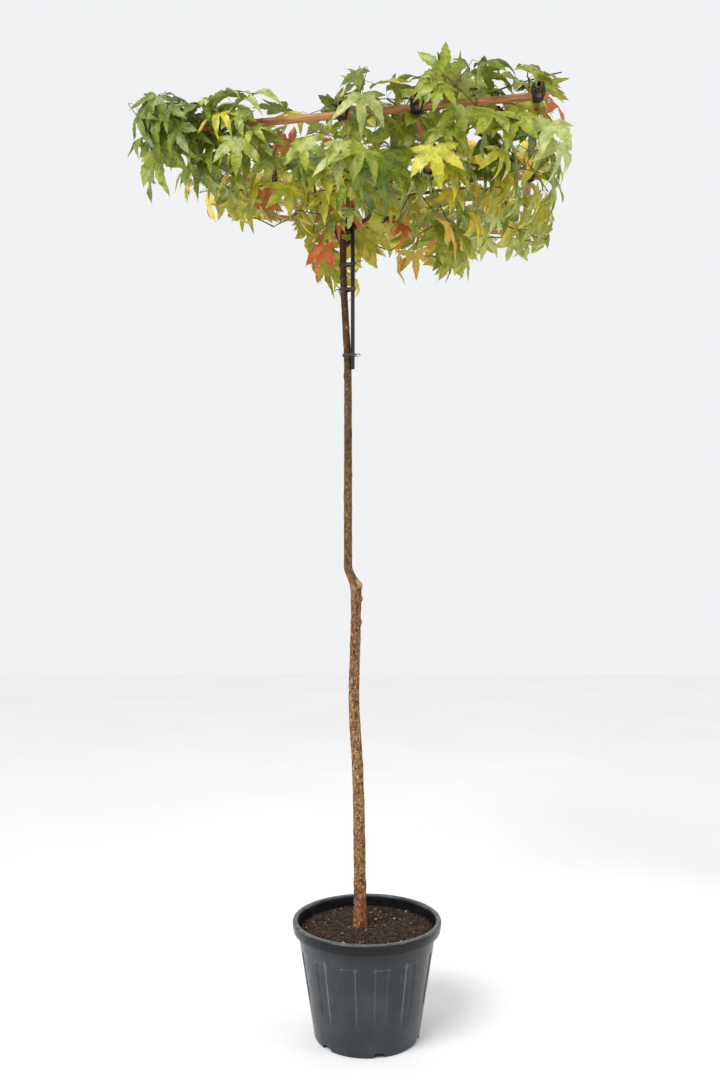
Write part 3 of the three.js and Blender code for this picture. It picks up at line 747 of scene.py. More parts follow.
def knobRelief(turn, height):
    relief = 0
    for centre, side, rise, tall, wide in trunk["knobs"]:
        if abs(height - centre) < 3 * tall:
            relief += rise * bump(centre, tall, height) * bump(0, wide, turnApart(turn, side))
    centre, side, rise, tall, wide = trunk["hole"]
    away = math.hypot((height - centre) / tall, turnApart(turn, side) / wide)
    return relief + rise * bump(1.6, 0.6, away) - 1.6 * rise * bump(0, 0.7, away)


def barkMaterial():
    paint = Paint("bark", 0.82, Specular_IOR_Level=0.3)
    height = paint.height()
    wander = paint.add("Math", {0: paint.noise(7), 1: 0.28, 2: height}, operation="MULTIPLY_ADD")
    base = paint.ramp(paint.between(wander, 0.46, 2.95, kind="LINEAR"), [
        (0.0, 158, 78, 34), (0.04, 148, 92, 50), (0.20, 148, 108, 60), (0.30, 146, 108, 56),
        (0.41, 142, 92, 58), (0.445, 122, 92, 46), (0.62, 106, 80, 40), (0.80, 92, 68, 40),
        (1.0, 78, 56, 36)])
    mottle = paint.patches(130, 0.36, 0.60, 4, 0.6, stretch=0.55)
    darker = paint.blend(mottle, colour(74, 52, 34), base)
    rusty = paint.patches(30, 0.56, 0.74, 4, most=0.5, stretch=0.5)
    warm = paint.blend(rusty, darker, colour(150, 84, 48))
    flecks = paint.patches(220, 0.58, 0.67, 3, 0.6, stretch=0.7)
    low = paint.between(height, 1.5, 1.2)  # 1 on the old wood under the graft
    pale = paint.times(flecks, paint.between(low, 0, 1, 0.25, 0.8))
    flecked = paint.blend(pale, warm, colour(222, 204, 180))
    relief = paint.attribute("relief")
    # painted highlight: the bark's ridges and knobs are lightened
    ridgesLit = paint.blend(paint.between(relief, 0.35, 1.3, most=0.55), flecked, colour(196, 166, 118))
    # painted shade: the bark's furrows and the knot's sunken middle are darkened
    hollowsShaded = paint.between(relief, -0.15, -1.1, most=0.75)
    paint.feed("Base Color", paint.blend(hollowsShaded, ridgesLit, colour(52, 34, 22)))
    paint.bump(paint.noise(380, 5, 0.65, stretch=0.5), 0.0012)
    return paint.material


bark = barkMaterial()


def makeTrunk():
    rings, reliefs = [], [0]
    count = round((trunk["top"] - trunk["foot"]) / trunk["ringGap"])
    for index in range(count + 1):
        height = mix(trunk["foot"], trunk["top"], index / count)
        centre = trunkAxis(height)
        ring = []
        for side in range(trunk["sides"]):
            turn = 360 * side / trunk["sides"]
            fine, knobs = barkRelief(turn, height), knobRelief(turn, height)
            reliefs.append((fine + 0.3 * knobs) / roughness(height))
            reach = trunkRadius(height) + fine + knobs
            angle = math.radians(turn)
            ring.append(centre + Vector((math.sin(angle) * reach, -math.cos(angle) * reach, 0)))
        rings.append(ring)
    closed = [[trunkAxis(trunk["foot"])]] + rings + [[trunkAxis(trunk["top"]) + Vector((0, 0, 0.003))]]
    points, faces = skinRings(closed)
    mesh = newMesh("trunkBark", points, faces)
    setAttribute(mesh, "relief", "FLOAT", reliefs + [0])
    addPiece("trunkBark", mesh, [bark], ["trunk"])


makeTrunk()


# bamboo frame

cane = {
    "radius": 0.0105, "crossRadius": 0.010, "overhang": 0.025, "sides": 22,
    "hole": 0.0056, "plug": 0.024, "edge": 0.0006, "nodeGap": (0.17, 0.25), "nodeRise": 0.0011,
    "nodeSteps": (-0.006, -0.003, -0.0016, -0.0008, 0, 0.0008, 0.0016, 0.003, 0.006),
    "bow": 0.0016, "seed": 12,
}
frameCorners = {
    "frontLeft": Vector((-0.578, -0.462, 2.680)), "frontRight": Vector((0.445, -0.597, 2.723)),
    "backLeft": Vector((-0.477, 0.500, 2.749)), "backRight": Vector((0.592, 0.605, 2.712)),
}
longCanes = [0, 0.5, 1]  # as shares of the frame's depth
crossings = [0.01, 0.22, 0.497, 0.691, 0.998]  # of the cross canes, as shares of the long ones
clearGap = 0.0003
caneRise = Vector((0, 0, cane["radius"] + cane["crossRadius"] + 2 * clearGap))


def frameSurface(share, deep):
    front = frameCorners["frontLeft"].lerp(frameCorners["frontRight"], share)
    back = frameCorners["backLeft"].lerp(frameCorners["backRight"], share)
    return front.lerp(back, deep)


# both ends and the radius of each cane
def caneLines():
    lines = [(frameSurface(0, deep), frameSurface(1, deep), cane["radius"]) for deep in longCanes]
    for share in crossings:
        lines.append((frameSurface(share, 0) + caneRise, frameSurface(share, 1) + caneRise,
                      cane["crossRadius"]))
    return lines


# distance along a cane, radius, how much of a node's ring is there, and whether it is inside the hole
def caneProfile(length, radius, dice):
    steps = {i * length / 60 for i in range(61)}
    nodes = []
    at = dice.random() * 0.12 + 0.04
    while at < length - 0.03:
        nodes.append(at)
        at += mix(*cane["nodeGap"], dice.random())
    for node in nodes:
        steps.update(node + away for away in cane["nodeSteps"])
    hole, lip, plug, edge = cane["hole"], cane["hole"] + 0.0003, cane["plug"], cane["edge"]
    rows = [(plug, 0, 0, 1), (plug, hole, 0, 1), (0.0, lip, 0, 1), (0.0, radius - edge, 0, 0)]
    for at in sorted(step for step in steps if edge < step < length - edge):
        nearest = min((abs(at - node) for node in nodes), default=1)
        ridge = cane["nodeRise"] * bump(0, 0.0028, nearest) - 0.0009 * bump(0, 0.0007, nearest)
        rows.append((at, radius * (1 - 0.03 * at / length) + ridge, bump(0, 0.0032, nearest), 0))
    return rows + [(length, radius * 0.97 - edge, 0, 0), (length, lip, 0, 1),
                   (length - plug, hole, 0, 1), (length - plug, 0, 0, 1)]


def bambooMaterial():
    paint = Paint("bamboo", 0.4, Specular_IOR_Level=0.5)
    paint.place = paint.attribute("grain", "Vector")
    fibres = paint.noise(260, 4, 0.6, stretch=0.05)
    patches = paint.patches(22, 0.35, 0.7, 4, stretch=0.35)
    warm = paint.blend(patches, colour(138, 80, 34), colour(186, 122, 62))
    streaked = paint.blend(paint.between(fibres, 0.32, 0.7, most=0.5), warm, colour(214, 160, 102))
    blotches = paint.patches(75, 0.6, 0.74, 5, 0.65, most=0.6, stretch=0.6)
    stained = paint.blend(blotches, streaked, colour(92, 50, 26))
    ringed = paint.blend(paint.times(paint.attribute("ring"), 0.75), stained, colour(84, 48, 28))
    paint.feed("Base Color", paint.blend(paint.attribute("inside"), ringed, colour(70, 46, 30)))
    paint.feed("Roughness", paint.between(patches, 0, 1, 0.42, 0.28))
    paint.bump(fibres, 0.0003, 0.5)
    return paint.material


def makeCanes():
    points, faces, grains, rings, insides = [], [], [], [], []
    dice = random.Random(cane["seed"])
    for number, (start, end, radius) in enumerate(caneLines()):
        along = (end - start).normalized()
        start = start - along * cane["overhang"]
        length = (end - start).length + cane["overhang"]
        side = along.cross(Vector((0, 0, 1))).normalized()
        up = side.cross(along)
        profile = caneProfile(length, radius, dice)
        phase = dice.random() * 6
        circles = []
        for at, reach, ring, inside in profile:
            bow = cane["bow"] * math.sin(math.pi * at / length) * math.sin(phase + at * 5)
            centre = start + along * at + side * bow
            turns = ringTurns(reach, cane["sides"])
            spots = [(math.cos(turn) * reach, math.sin(turn) * reach) for turn in turns]
            circles.append([centre + side * x - up * y for x, y in spots])
            grains.extend((x + number, y, at) for x, y in spots)
            rings.extend(ring for spot in spots)
            insides.extend(inside for spot in spots)
        skin, skinFaces = skinRings(circles)
        faces.extend(tuple(len(points) + i for i in reversed(face)) for face in skinFaces)
        points.extend(skin)
    mesh = newMesh("bambooCanes", points, faces)
    mesh.set_sharp_from_angle(angle=math.radians(50))
    setAttribute(mesh, "grain", "FLOAT_VECTOR", grains)
    setAttribute(mesh, "ring", "FLOAT", rings)
    setAttribute(mesh, "inside", "FLOAT", insides)
    canes = [name for name in namesWith("cane_") if not name.startswith("cane_tie")]
    addPiece("bambooCanes", mesh, [bambooMaterial()], canes)


makeCanes()


# rod, and the ties of rod and frame

rod = {"radius": 0.0063, "x": -0.045, "y": -0.011, "foot": 2.105, "under": (0.49, 0.5), "sides": 24}
rodTies = {
    "heights": [2.150, 2.358, 2.437], "cord": 0.0016, "turns": 3, "knot": 0.0032, "tail": 0.030, "seed": 4,
}
crossTies = {
    "cord": 0.0022, "halfWidth": 0.0176, "halfHeight": 0.0234, "corners": 0.77, "turns": (4, 2),
    "reach": 0.0185, "knots": (0.0042, 0.0030), "tail": 0.034, "seed": 8,
}
upwards = Vector((0, 0, 1))


def makeRod():
    top = frameSurface(*rod["under"]).z - cane["radius"] - clearGap
    radius, foot = rod["radius"], rod["foot"]
    profile = [(0, foot + 0.012), (radius * 0.7, foot + 0.012), (radius * 0.72, foot), (radius * 0.93, foot),
               (radius, foot + 0.0006), (radius, foot + 0.2), (radius, foot + 0.4),
               (radius, top - 0.001), (radius * 0.9, top), (0, top)]
    rings = [[Vector((rod["x"] + math.cos(turn) * reach, rod["y"] + math.sin(turn) * reach, height))
              for turn in ringTurns(reach, rod["sides"])] for reach, height in profile]
    mesh = newMesh("frameRod", *skinRings(rings))
    mesh.set_sharp_from_angle(angle=math.radians(40))
    coating = twoTints("rodCoating", 0.38, (26, 28, 31), (88, 90, 92), (120, 0.52, 0.78, 4),
                       (500, 2, 0.0002, 0.5), most=0.4, stretch=0.2)
    addPiece("frameRod", mesh, [coating], ["rod"])


# a belt round two upright round things, as points of one closed turn
def beltTurn(centre, radius, other, otherRadius, height, slope):
    apart = math.atan2(other.y - centre.y, other.x - centre.x)
    halves = ((centre, radius, apart + math.pi / 2), (other, otherRadius, apart - math.pi / 2))
    points = []
    for middle, reach, start in halves:
        for step in range(13):
            turn = start + math.pi * step / 12
            x, y = middle.x + math.cos(turn) * reach, middle.y + math.sin(turn) * reach
            points.append(Vector((x, y, height + slope * math.cos(turn))))
    return points


def tailPath(start, run, length, dice):
    sag = Vector((dice.uniform(-0.4, 0.4), dice.uniform(-0.4, 0.4), dice.uniform(-0.9, 0.1)))
    shares = [step / 5 for step in range(6)]
    return [start + run * (length * t) + sag * (length * 0.5 * t * t) for t in shares]


def knotPath(centre, across, size):
    out = across.cross(upwards)
    return [centre + across * (size * math.cos(turn)) + upwards * (size * 0.8 * math.sin(turn))
            + out * (size * 0.5 * math.sin(2 * turn)) for turn in circleTurns(14)]


def addTies(name, loops, tails, dark, light, start):
    material = twoTints(f"{name[:-1]}Cord", 0.55, dark, light, (160, 0.4, 0.7), (900, 2, 0.0003, 0.6))
    mesh = joinMeshes(name, [
        tubes("loops", loops, 8, material, closed=True), tubes("tails", tails, 8, material)])
    addPiece(name, mesh, [material], namesWith(start))


def makeRodTies():
    loops, tails = [], []
    dice = random.Random(rodTies["seed"])
    thin = rodTies["cord"]
    for number, height in enumerate(rodTies["heights"]):
        centre, radius = trunkAxis(height), trunkRadius(height)
        other = Vector((rod["x"], rod["y"], height))
        for turn in range(rodTies["turns"]):
            grow = thin + 0.0009 + 0.0004 * turn
            level = height + (turn - 1) * thin * 1.9
            slope = dice.uniform(-0.0015, 0.0015)
            loops.append(evenly(beltTurn(centre, radius + grow, other, rod["radius"] + grow - 0.0006,
                                         level, slope), thin))
        side = -1 if number == 1 else 1
        knot = centre + Vector((side * (radius + 0.003) * 0.7, -(radius + 0.004) * 0.75, 0))
        if side > 0:
            knot = other + Vector((0.004, -rod["radius"] - 0.004, 0))
        loops.append(evenly(knotPath(knot, Vector((1, 0, 0)), rodTies["knot"]), thin * 1.1))
        run = Vector((side, -0.5, dice.uniform(-0.3, 0.5))).normalized()
        for spread in (-0.35, 0.3):
            aim = (run + Vector((0, 0, spread))).normalized()
            length = rodTies["tail"] * dice.uniform(0.5, 1)
            tails.append(evenly(tailPath(knot, aim, length, dice), thin * 0.9))
    addTies("rodTies", loops, tails, (52, 53, 55), (92, 92, 90), "rod_tie")


# one turn of cord round two crossed canes: a rounded box, across them and upwards
def lashTurn(centre, across, normal, shift, grow):
    points = []
    for turn in circleTurns(28):
        x, z = math.cos(turn), math.sin(turn)
        wide = math.copysign(abs(x) ** crossTies["corners"], x) * (crossTies["halfWidth"] + grow)
        high = math.copysign(abs(z) ** crossTies["corners"], z) * (crossTies["halfHeight"] + grow)
        points.append(centre + across * wide + Vector((0, 0, high)) + normal * (shift * (1 + 0.12 * x)))
    return points


def lashing(share, deep, loops, tails, dice):
    thick = crossTies["cord"]
    centre = frameSurface(share, deep) + Vector((0, 0, cane["crossRadius"] + clearGap))
    longRun = (frameSurface(1, deep) - frameSurface(0, deep)).normalized()
    crossRun = (frameSurface(share, 1) - frameSurface(share, 0)).normalized()
    for turns, sign, grow in zip(crossTies["turns"], (1, -1), (0, thick * 0.7)):
        across = (longRun + crossRun * sign).normalized()
        normal = across.cross(upwards).normalized()
        for turn in range(turns):
            shift = (turn - (turns - 1) / 2) * thick * 1.85
            slack = grow + dice.uniform(0, 0.0006)
            loops.append(evenly(lashTurn(centre, across, normal, shift, slack), thick))
    front = (-crossRun * 0.8 + longRun * dice.uniform(-0.6, 0.6)).normalized()
    knot = centre + front * crossTies["reach"] + Vector((0, 0, dice.uniform(-0.010, 0.006)))
    for size in crossTies["knots"]:
        loops.append(evenly(knotPath(knot, front.cross(upwards), size), thick * 1.15))
    for spread in (-0.8, 0.9):
        run = front + longRun * spread * dice.uniform(0.3, 1) + Vector((0, 0, dice.uniform(-0.2, 0.7)))
        length = crossTies["tail"] * dice.uniform(0.5, 1.2)
        tails.append(evenly(tailPath(knot, run.normalized(), length, dice), thick * 0.85))


def makeCrossTies():
    loops, tails = [], []
    dice = random.Random(crossTies["seed"])
    for deep in longCanes:
        for share in crossings:
            lashing(share, deep, loops, tails, dice)
    addTies("frameTies", loops, tails, (20, 20, 22), (44, 44, 46), "cane_tie")


makeRod()
makeRodTies()
makeCrossTies()


# the crown's spaces, each with a mass of foliage in it

crown = {
    # name and share of the depth of each row, then for each of its masses the column, how far it
    # stands over the frame and hangs under it, and the seeds of its growth and of its tints
    "rows": [
        ("front", 0.06, [("left", 0.120, 0.190, 46, 945), ("centre", 0.125, 0.265, 171, 357),
                         ("right", 0.150, 0.240, 122, 1111)]),
        ("middle", 0.5, [("left", 0.090, 0.160, 139, 921), ("mid_left", 0.100, 0.390, 62, 1467),
                         ("mid_right", 0.125, 0.370, 24, 1049), ("right", 0.140, 0.300, 174, 1357)]),
        ("back", 0.92, [("left", 0.080, 0.070, 43, 1004), ("centre", 0.105, 0.100, 74, 379),
                        ("right", 0.120, 0.130, 20, 566)]),
    ],
    "left": 0.064, "leftBack": 0.025, "right": 0.084, "front": 0.108, "back": 0.090,  # past the frame
    "tilt": 0.040, "boundary": 0.0012, "trunkMass": "middle_mid_left", "boxReach": 0.33, "seed": 77,
    "ripple": (0.14, 0.061, 0.083),  # depth, then length along x and along y
    "room": 0.00120,  # for one leaf, in cubic metres
    "samples": 2000, "looks": 600, "choices": 3, "tries": 24,
}
# from left to right, as x and value: how deep the rows hang, and how much of its lift the crown reaches
hangLines = {
    "front": [(-0.66, 0.170), (-0.585, 0.195), (-0.545, 0.160), (-0.51, 0.11), (-0.46, 0.165),
              (-0.38, 0.165), (-0.28, 0.165), (-0.20, 0.23), (0.12, 0.25), (0.45, 0.22)],
    "middle": [(-0.66, 0.06), (-0.54, 0.06), (-0.49, 0.12), (-0.28, 0.13), (-0.21, 0.23), (-0.165, 0.34),
               (-0.13, 0.39), (-0.04, 0.39), (0.0, 0.25), (0.06, 0.24), (0.13, 0.28), (0.22, 0.36),
               (0.30, 0.37), (0.345, 0.25), (0.66, 0.20)],
}
liftLine = [(-0.66, 0.8), (-0.47, 0.74), (-0.42, 0.95), (0.10, 1.0), (0.18, 0.94), (0.235, 1.30),
            (0.29, 1.26), (0.35, 0.82), (0.42, 0.62), (0.70, 0.60)]


def shareBetween(start, end, value):
    return (value - start) / (end - start)


# where the frame's edge between two corners is, seen along axis 0 or 1, at a value of the other axis
def edgeOf(first, last, axis, value):
    low, high = frameCorners[first], frameCorners[last]
    return mix(low[axis], high[axis], shareBetween(low[1 - axis], high[1 - axis], value))


leftEdge = partial(edgeOf, "frontLeft", "backLeft", 0)
rightEdge = partial(edgeOf, "frontRight", "backRight", 0)
frontEdge = partial(edgeOf, "frontLeft", "frontRight", 1)
backEdge = partial(edgeOf, "backLeft", "backRight", 1)


def depthShare(point):
    return shareBetween(frontEdge(point.x), backEdge(point.x), point.y)


def frameLevel(point):
    share = shareBetween(leftEdge(point.y), rightEdge(point.y), point.x)
    return frameSurface(share, depthShare(point)).z


def crownMasses():
    found = []
    for row, deep, columns in crown["rows"]:
        for i, (column, lift, hang, seed, tintSeed) in enumerate(columns):
            middle = frameSurface((i + 0.5) / len(columns), deep)
            middle.z += crown["tilt"] if i % 2 else -crown["tilt"]
            found.append({"name": f"{row}_{column}", "row": row, "middle": middle, "lift": lift,
                          "hang": hang, "seed": seed, "tintSeed": tintSeed})
    return found


masses = crownMasses()


def valueAlong(line, x):
    return float(np.interp(x, *zip(*line)))


def inCrown(mass, point, slack=0.0):
    if point.x < leftEdge(point.y) - mix(crown["left"], crown["leftBack"], depthShare(point)) - slack:
        return False
    if point.x > rightEdge(point.y) + crown["right"] + slack:
        return False
    if not frontEdge(point.x) - crown["front"] - slack < point.y < backEdge(point.x) + crown["back"] + slack:
        return False
    level = frameLevel(point)
    ripple, alongX, alongY = crown["ripple"]
    wave = 1 - ripple * (0.5 + 0.5 * math.sin(point.x / alongX) * math.cos(point.y / alongY))
    lift = mass["lift"] * wave * valueAlong(liftLine, point.x)
    line = hangLines.get(mass["row"])
    hang = valueAlong(line, point.x) if line else mass["hang"] * wave
    return level - hang - slack < point.z < level + lift + slack


def inOwnSpace(mass, point):
    if not inCrown(mass, point):
        return False
    own = (mass["middle"] - point).length_squared
    for other in masses:
        if other is not mass:
            apart = (other["middle"] - mass["middle"]).length
            if ((other["middle"] - point).length_squared - own) / (2 * apart) < crown["boundary"]:
                return False
    return True


# leaves and twigs grow past the canes, the rod and the head of the trunk
obstacles = {"rodTop": 2.7, "trunkHeights": (2.2, 2.4, 2.52, 2.63), "trunkRadius": 0.0115}


# both ends and the radius of each
def obstacleLines():
    rodEnds = [Vector((rod["x"], rod["y"], height)) for height in (rod["foot"], obstacles["rodTop"])]
    heights = obstacles["trunkHeights"]
    stem = [(trunkAxis(low), trunkAxis(high), obstacles["trunkRadius"])
            for low, high in zip(heights, heights[1:])]
    return caneLines() + [(*rodEnds, rod["radius"])] + stem


obstacleStarts, obstacleEnds, obstacleRadii = (np.array(part) for part in zip(*obstacleLines()))
obstacleRuns = obstacleEnds - obstacleStarts


# the least room between some points and what they grow past
def roomAround(points):
    places = np.array([tuple(point) for point in points])[:, None, :]
    away = places - obstacleStarts[None]
    share = (away * obstacleRuns).sum(2) / (obstacleRuns ** 2).sum(1)
    nearest = obstacleStarts + obstacleRuns * np.clip(share, 0, 1)[:, :, None]
    return (np.linalg.norm(places - nearest, axis=2) - obstacleRadii).min()


# boughs, twigs and leaves

twigs = {
    # how long they may get, their radius at the foot and at the tip, and their steps
    "main": (0.230, 0.0029, 0.0013, 8), "fine": (0.120, 0.0017, 0.0009, 5),
    "brim": (0.240, 0.0017, 0.0009, 6),
    "stem": 0.0044, "stemSteps": 14, "stemRun": 0.06, "stemPast": 0.25, "stemBelow": 0.040,
    "shortest": 0.03, "arch": (-0.01, 0.03), "tip": 0.6,  # the tip of a stem or bare shoot, as a share
    "leaves": 2.4, "finePerTwig": 1.6, "leavesPerBrimTwig": 4, "clearance": 0.0015, "wander": 0.008,
    "upShare": 0.62, "downShare": 0.60,  # of a space's height that twigs reach; leaves fill the rest
}
# leaf stalks
petiole = {"radius": 0.00085, "foot": 1.35, "bendAt": 0.6, "bendBack": 0.014, "bendUp": 0.008, "steps": 5}
# bare shoots that stand out of the leaves: start, bend, end, radius
bareShoots = [
    ((0.255, -0.470, 2.744), (0.360, -0.520, 2.790), (0.515, -0.540, 2.810), 0.0028),
    ((0.330, -0.530, 2.742), (0.300, -0.560, 2.690), (0.287, -0.575, 2.655), 0.0020),
]
shootSteps, shootWander = 12, 0.004
leaf = {
    "length": 0.110, "size": (0.60, 1.18), "stalk": (0.030, 0.100), "thickness": 0.0005,
    "spacing": 0.042, "slack": 0.012, "clearance": 0.003, "endReach": 0.06, "steps": 8, "seed": 60,
    "middle": 0.35, "topHeight": 0.05, "topSize": 0.85,  # leaves over the frame are smaller
    # the tips of its lobes, ahead and across, and how far they hang
    "tips": [(0.85, 0), (0.5, 0.7), (0.5, -0.7), (-0.2, 0.55), (-0.2, -0.55)], "drop": 0.3,
}
bough = {
    "lowest": 2.492, "step": 0.036, "starts": 4, "below": 0.024, "stagger": 0.006,
    "bend": 0.45, "arch": 0.012, "thick": 0.0076, "thin": 0.0044, "steps": 18, "wander": 0.006,
    "shares": (28, 0.35, 0.02),  # of the way to a mass: how many are tried, the first, and the step
}
# leaves fold over the brims: how many, between which shares of the front cane's length, and between
# which distances behind it
brims = [(28, -0.10, 0.235, -0.10, 0.03), (6, 0.515, 0.585, -0.10, 0.03), (5, 0.72, 0.775, -0.10, 0.03),
         (4, 0.60, 0.70, 0.02, 0.12), (18, 0.80, 1.08, 0.03, 0.14)]
brimHeights = (-0.03, 0.09)  # from the frame's level
# few leaves hang over the shown parts of the front cane: between which shares of its length, how far
# behind it, and the share left out
shownCane = [(0.245, 0.34, 0.0, 0.8), (0.34, 0.49, 0.10, 0.65), (0.585, 0.71, 0.0, 0.9),
             (0.785, 1.02, 0.0, 0.95)]
# where else few leaves hang, with the share left out
thinned = {
    # how far under and over the shown cane, where leaves behind it are left out too and where not
    "shownFoot": -0.035, "shownTops": (0.09, 0.05),
    # round the last two cross canes: half width of each, heights, depth
    "crossHalves": (0.055, 0.045), "crossHeights": (-0.30, 0.05), "crossDepth": 0.72, "crossShare": 0.9,
    # a dip in the top over the trunk: from and to, height
    "dip": (-0.22, -0.06), "dipHeight": 0.06, "dipShare": 0.8,
    # the underside of the right end: how far out, height
    "endReach": 0.02, "endHeight": 0.04, "endShare": 0.5,
}


def boughLine(mass, index):
    start = trunkAxis(bough["lowest"] + (index % bough["starts"]) * bough["step"])
    end = start.copy()
    count, first, stride = bough["shares"]
    for step in range(count):
        end = start.lerp(mass["middle"], first + step * stride)
        end.z = frameLevel(end) - bough["below"] - (index % 3) * bough["stagger"]
        if inOwnSpace(mass, end):
            break
    bend = start.lerp(end, bough["bend"])
    bend.z = end.z - bough["arch"]
    return start, bend, end


# points along a bent line with a little waver that dies out at both ends
def waveringPath(start, bend, end, count, wander, dice):
    phase = Vector((dice.random(), dice.random(), dice.random())) * 40
    length = (end - start).length
    path = []
    for step in range(count + 1):
        t = step / count
        drift = noise.noise_vector(phase + Vector((t * length * 16, 0, 0))) * (wander * 4 * t * (1 - t))
        path.append(curvePoint(start, bend, end, t) + drift)
    return path


def taper(count, thick, thin):
    return [mix(thick, thin, (i / count) ** 0.8) for i in range(count + 1)]


def growingPoints(path, twig):
    return [{"place": path[i], "twig": twig} for i in range(1, len(path))]


def nearestOf(growing, target):
    return min(growing, key=lambda each: (each["place"] - target).length_squared)


def randomPlace(low, high, dice):
    return Vector((dice.uniform(low.x, high.x), dice.uniform(low.y, high.y), dice.uniform(low.z, high.z)))


def spaceVolume(mass, box, dice):
    inside = sum(inOwnSpace(mass, randomPlace(*box, dice)) for _ in range(crown["samples"]))
    size = box[1] - box[0]
    return size.x * size.y * size.z * inside / crown["samples"]


def frontShare(place):
    return shareBetween(frameCorners["frontLeft"].x, frameCorners["frontRight"].x, place.x)


def overBrim(start, end, near, far, place):
    behind = place.y - frontEdge(place.x)
    above = place.z - frameLevel(place)
    low, high = brimHeights
    return start < frontShare(place) < end and near < behind < far and low < above < high


# how often a leaf is left out at a place
def thinning(place):
    behind = place.y - frontEdge(place.x)
    above = place.z - frameLevel(place)
    deepTop, nearTop = thinned["shownTops"]
    for start, end, far, share in shownCane:
        top = deepTop if far else nearTop
        if start < frontShare(place) < end and behind < far and thinned["shownFoot"] < above < top:
            return share
    low, high = thinned["crossHeights"]
    for crossing, half in zip(crossings[-2:], thinned["crossHalves"]):
        front, back = frameSurface(crossing, 0), frameSurface(crossing, 1)
        deep = shareBetween(front.y, back.y, place.y)
        line = front.lerp(back, deep)
        close = abs(place.x - line.x) < half and low < place.z - line.z < high
        if close and deep < thinned["crossDepth"]:
            return thinned["crossShare"]
    start, end = thinned["dip"]
    if start < place.x < end and above > thinned["dipHeight"]:
        return thinned["dipShare"]
    if place.x > rightEdge(place.y) + thinned["endReach"] and above < thinned["endHeight"]:
        return thinned["endShare"]
    return 0


# a leaf's stalk runs towards its place; the blade hangs from the stalk's end, its upper side outwards
def seatLeaf(root, target, dice):
    run = target - root
    stalk = min(max(run.length - 0.030, leaf["stalk"][0]), leaf["stalk"][1])
    run.normalize()
    outward = Vector((target.x + 0.02, target.y, 0)).normalized()
    aside = Vector((dice.gauss(0, 1), dice.gauss(0, 1), 0))
    above = target.z - frameLevel(target)
    if above > 0.03:
        along = run * 0.7 + outward * 0.5 + Vector((0, 0, dice.uniform(-0.9, 0.7)))
        face = outward * 0.7 + Vector((0, 0, 1))
    else:
        along = run * 0.45 + outward * 0.35 - Vector((0, 0, dice.uniform(0.5, 1.6)))
        face = outward + Vector((0, 0, 0.55))
    along = (along + aside * 0.25).normalized()
    face += aside * 0.35 + Vector((0, 0, dice.gauss(0, 0.25)))
    face = (face - along * face.dot(along)).normalized()
    turn = Matrix((along.cross(face), along, face)).transposed()
    return root + run * stalk, turn


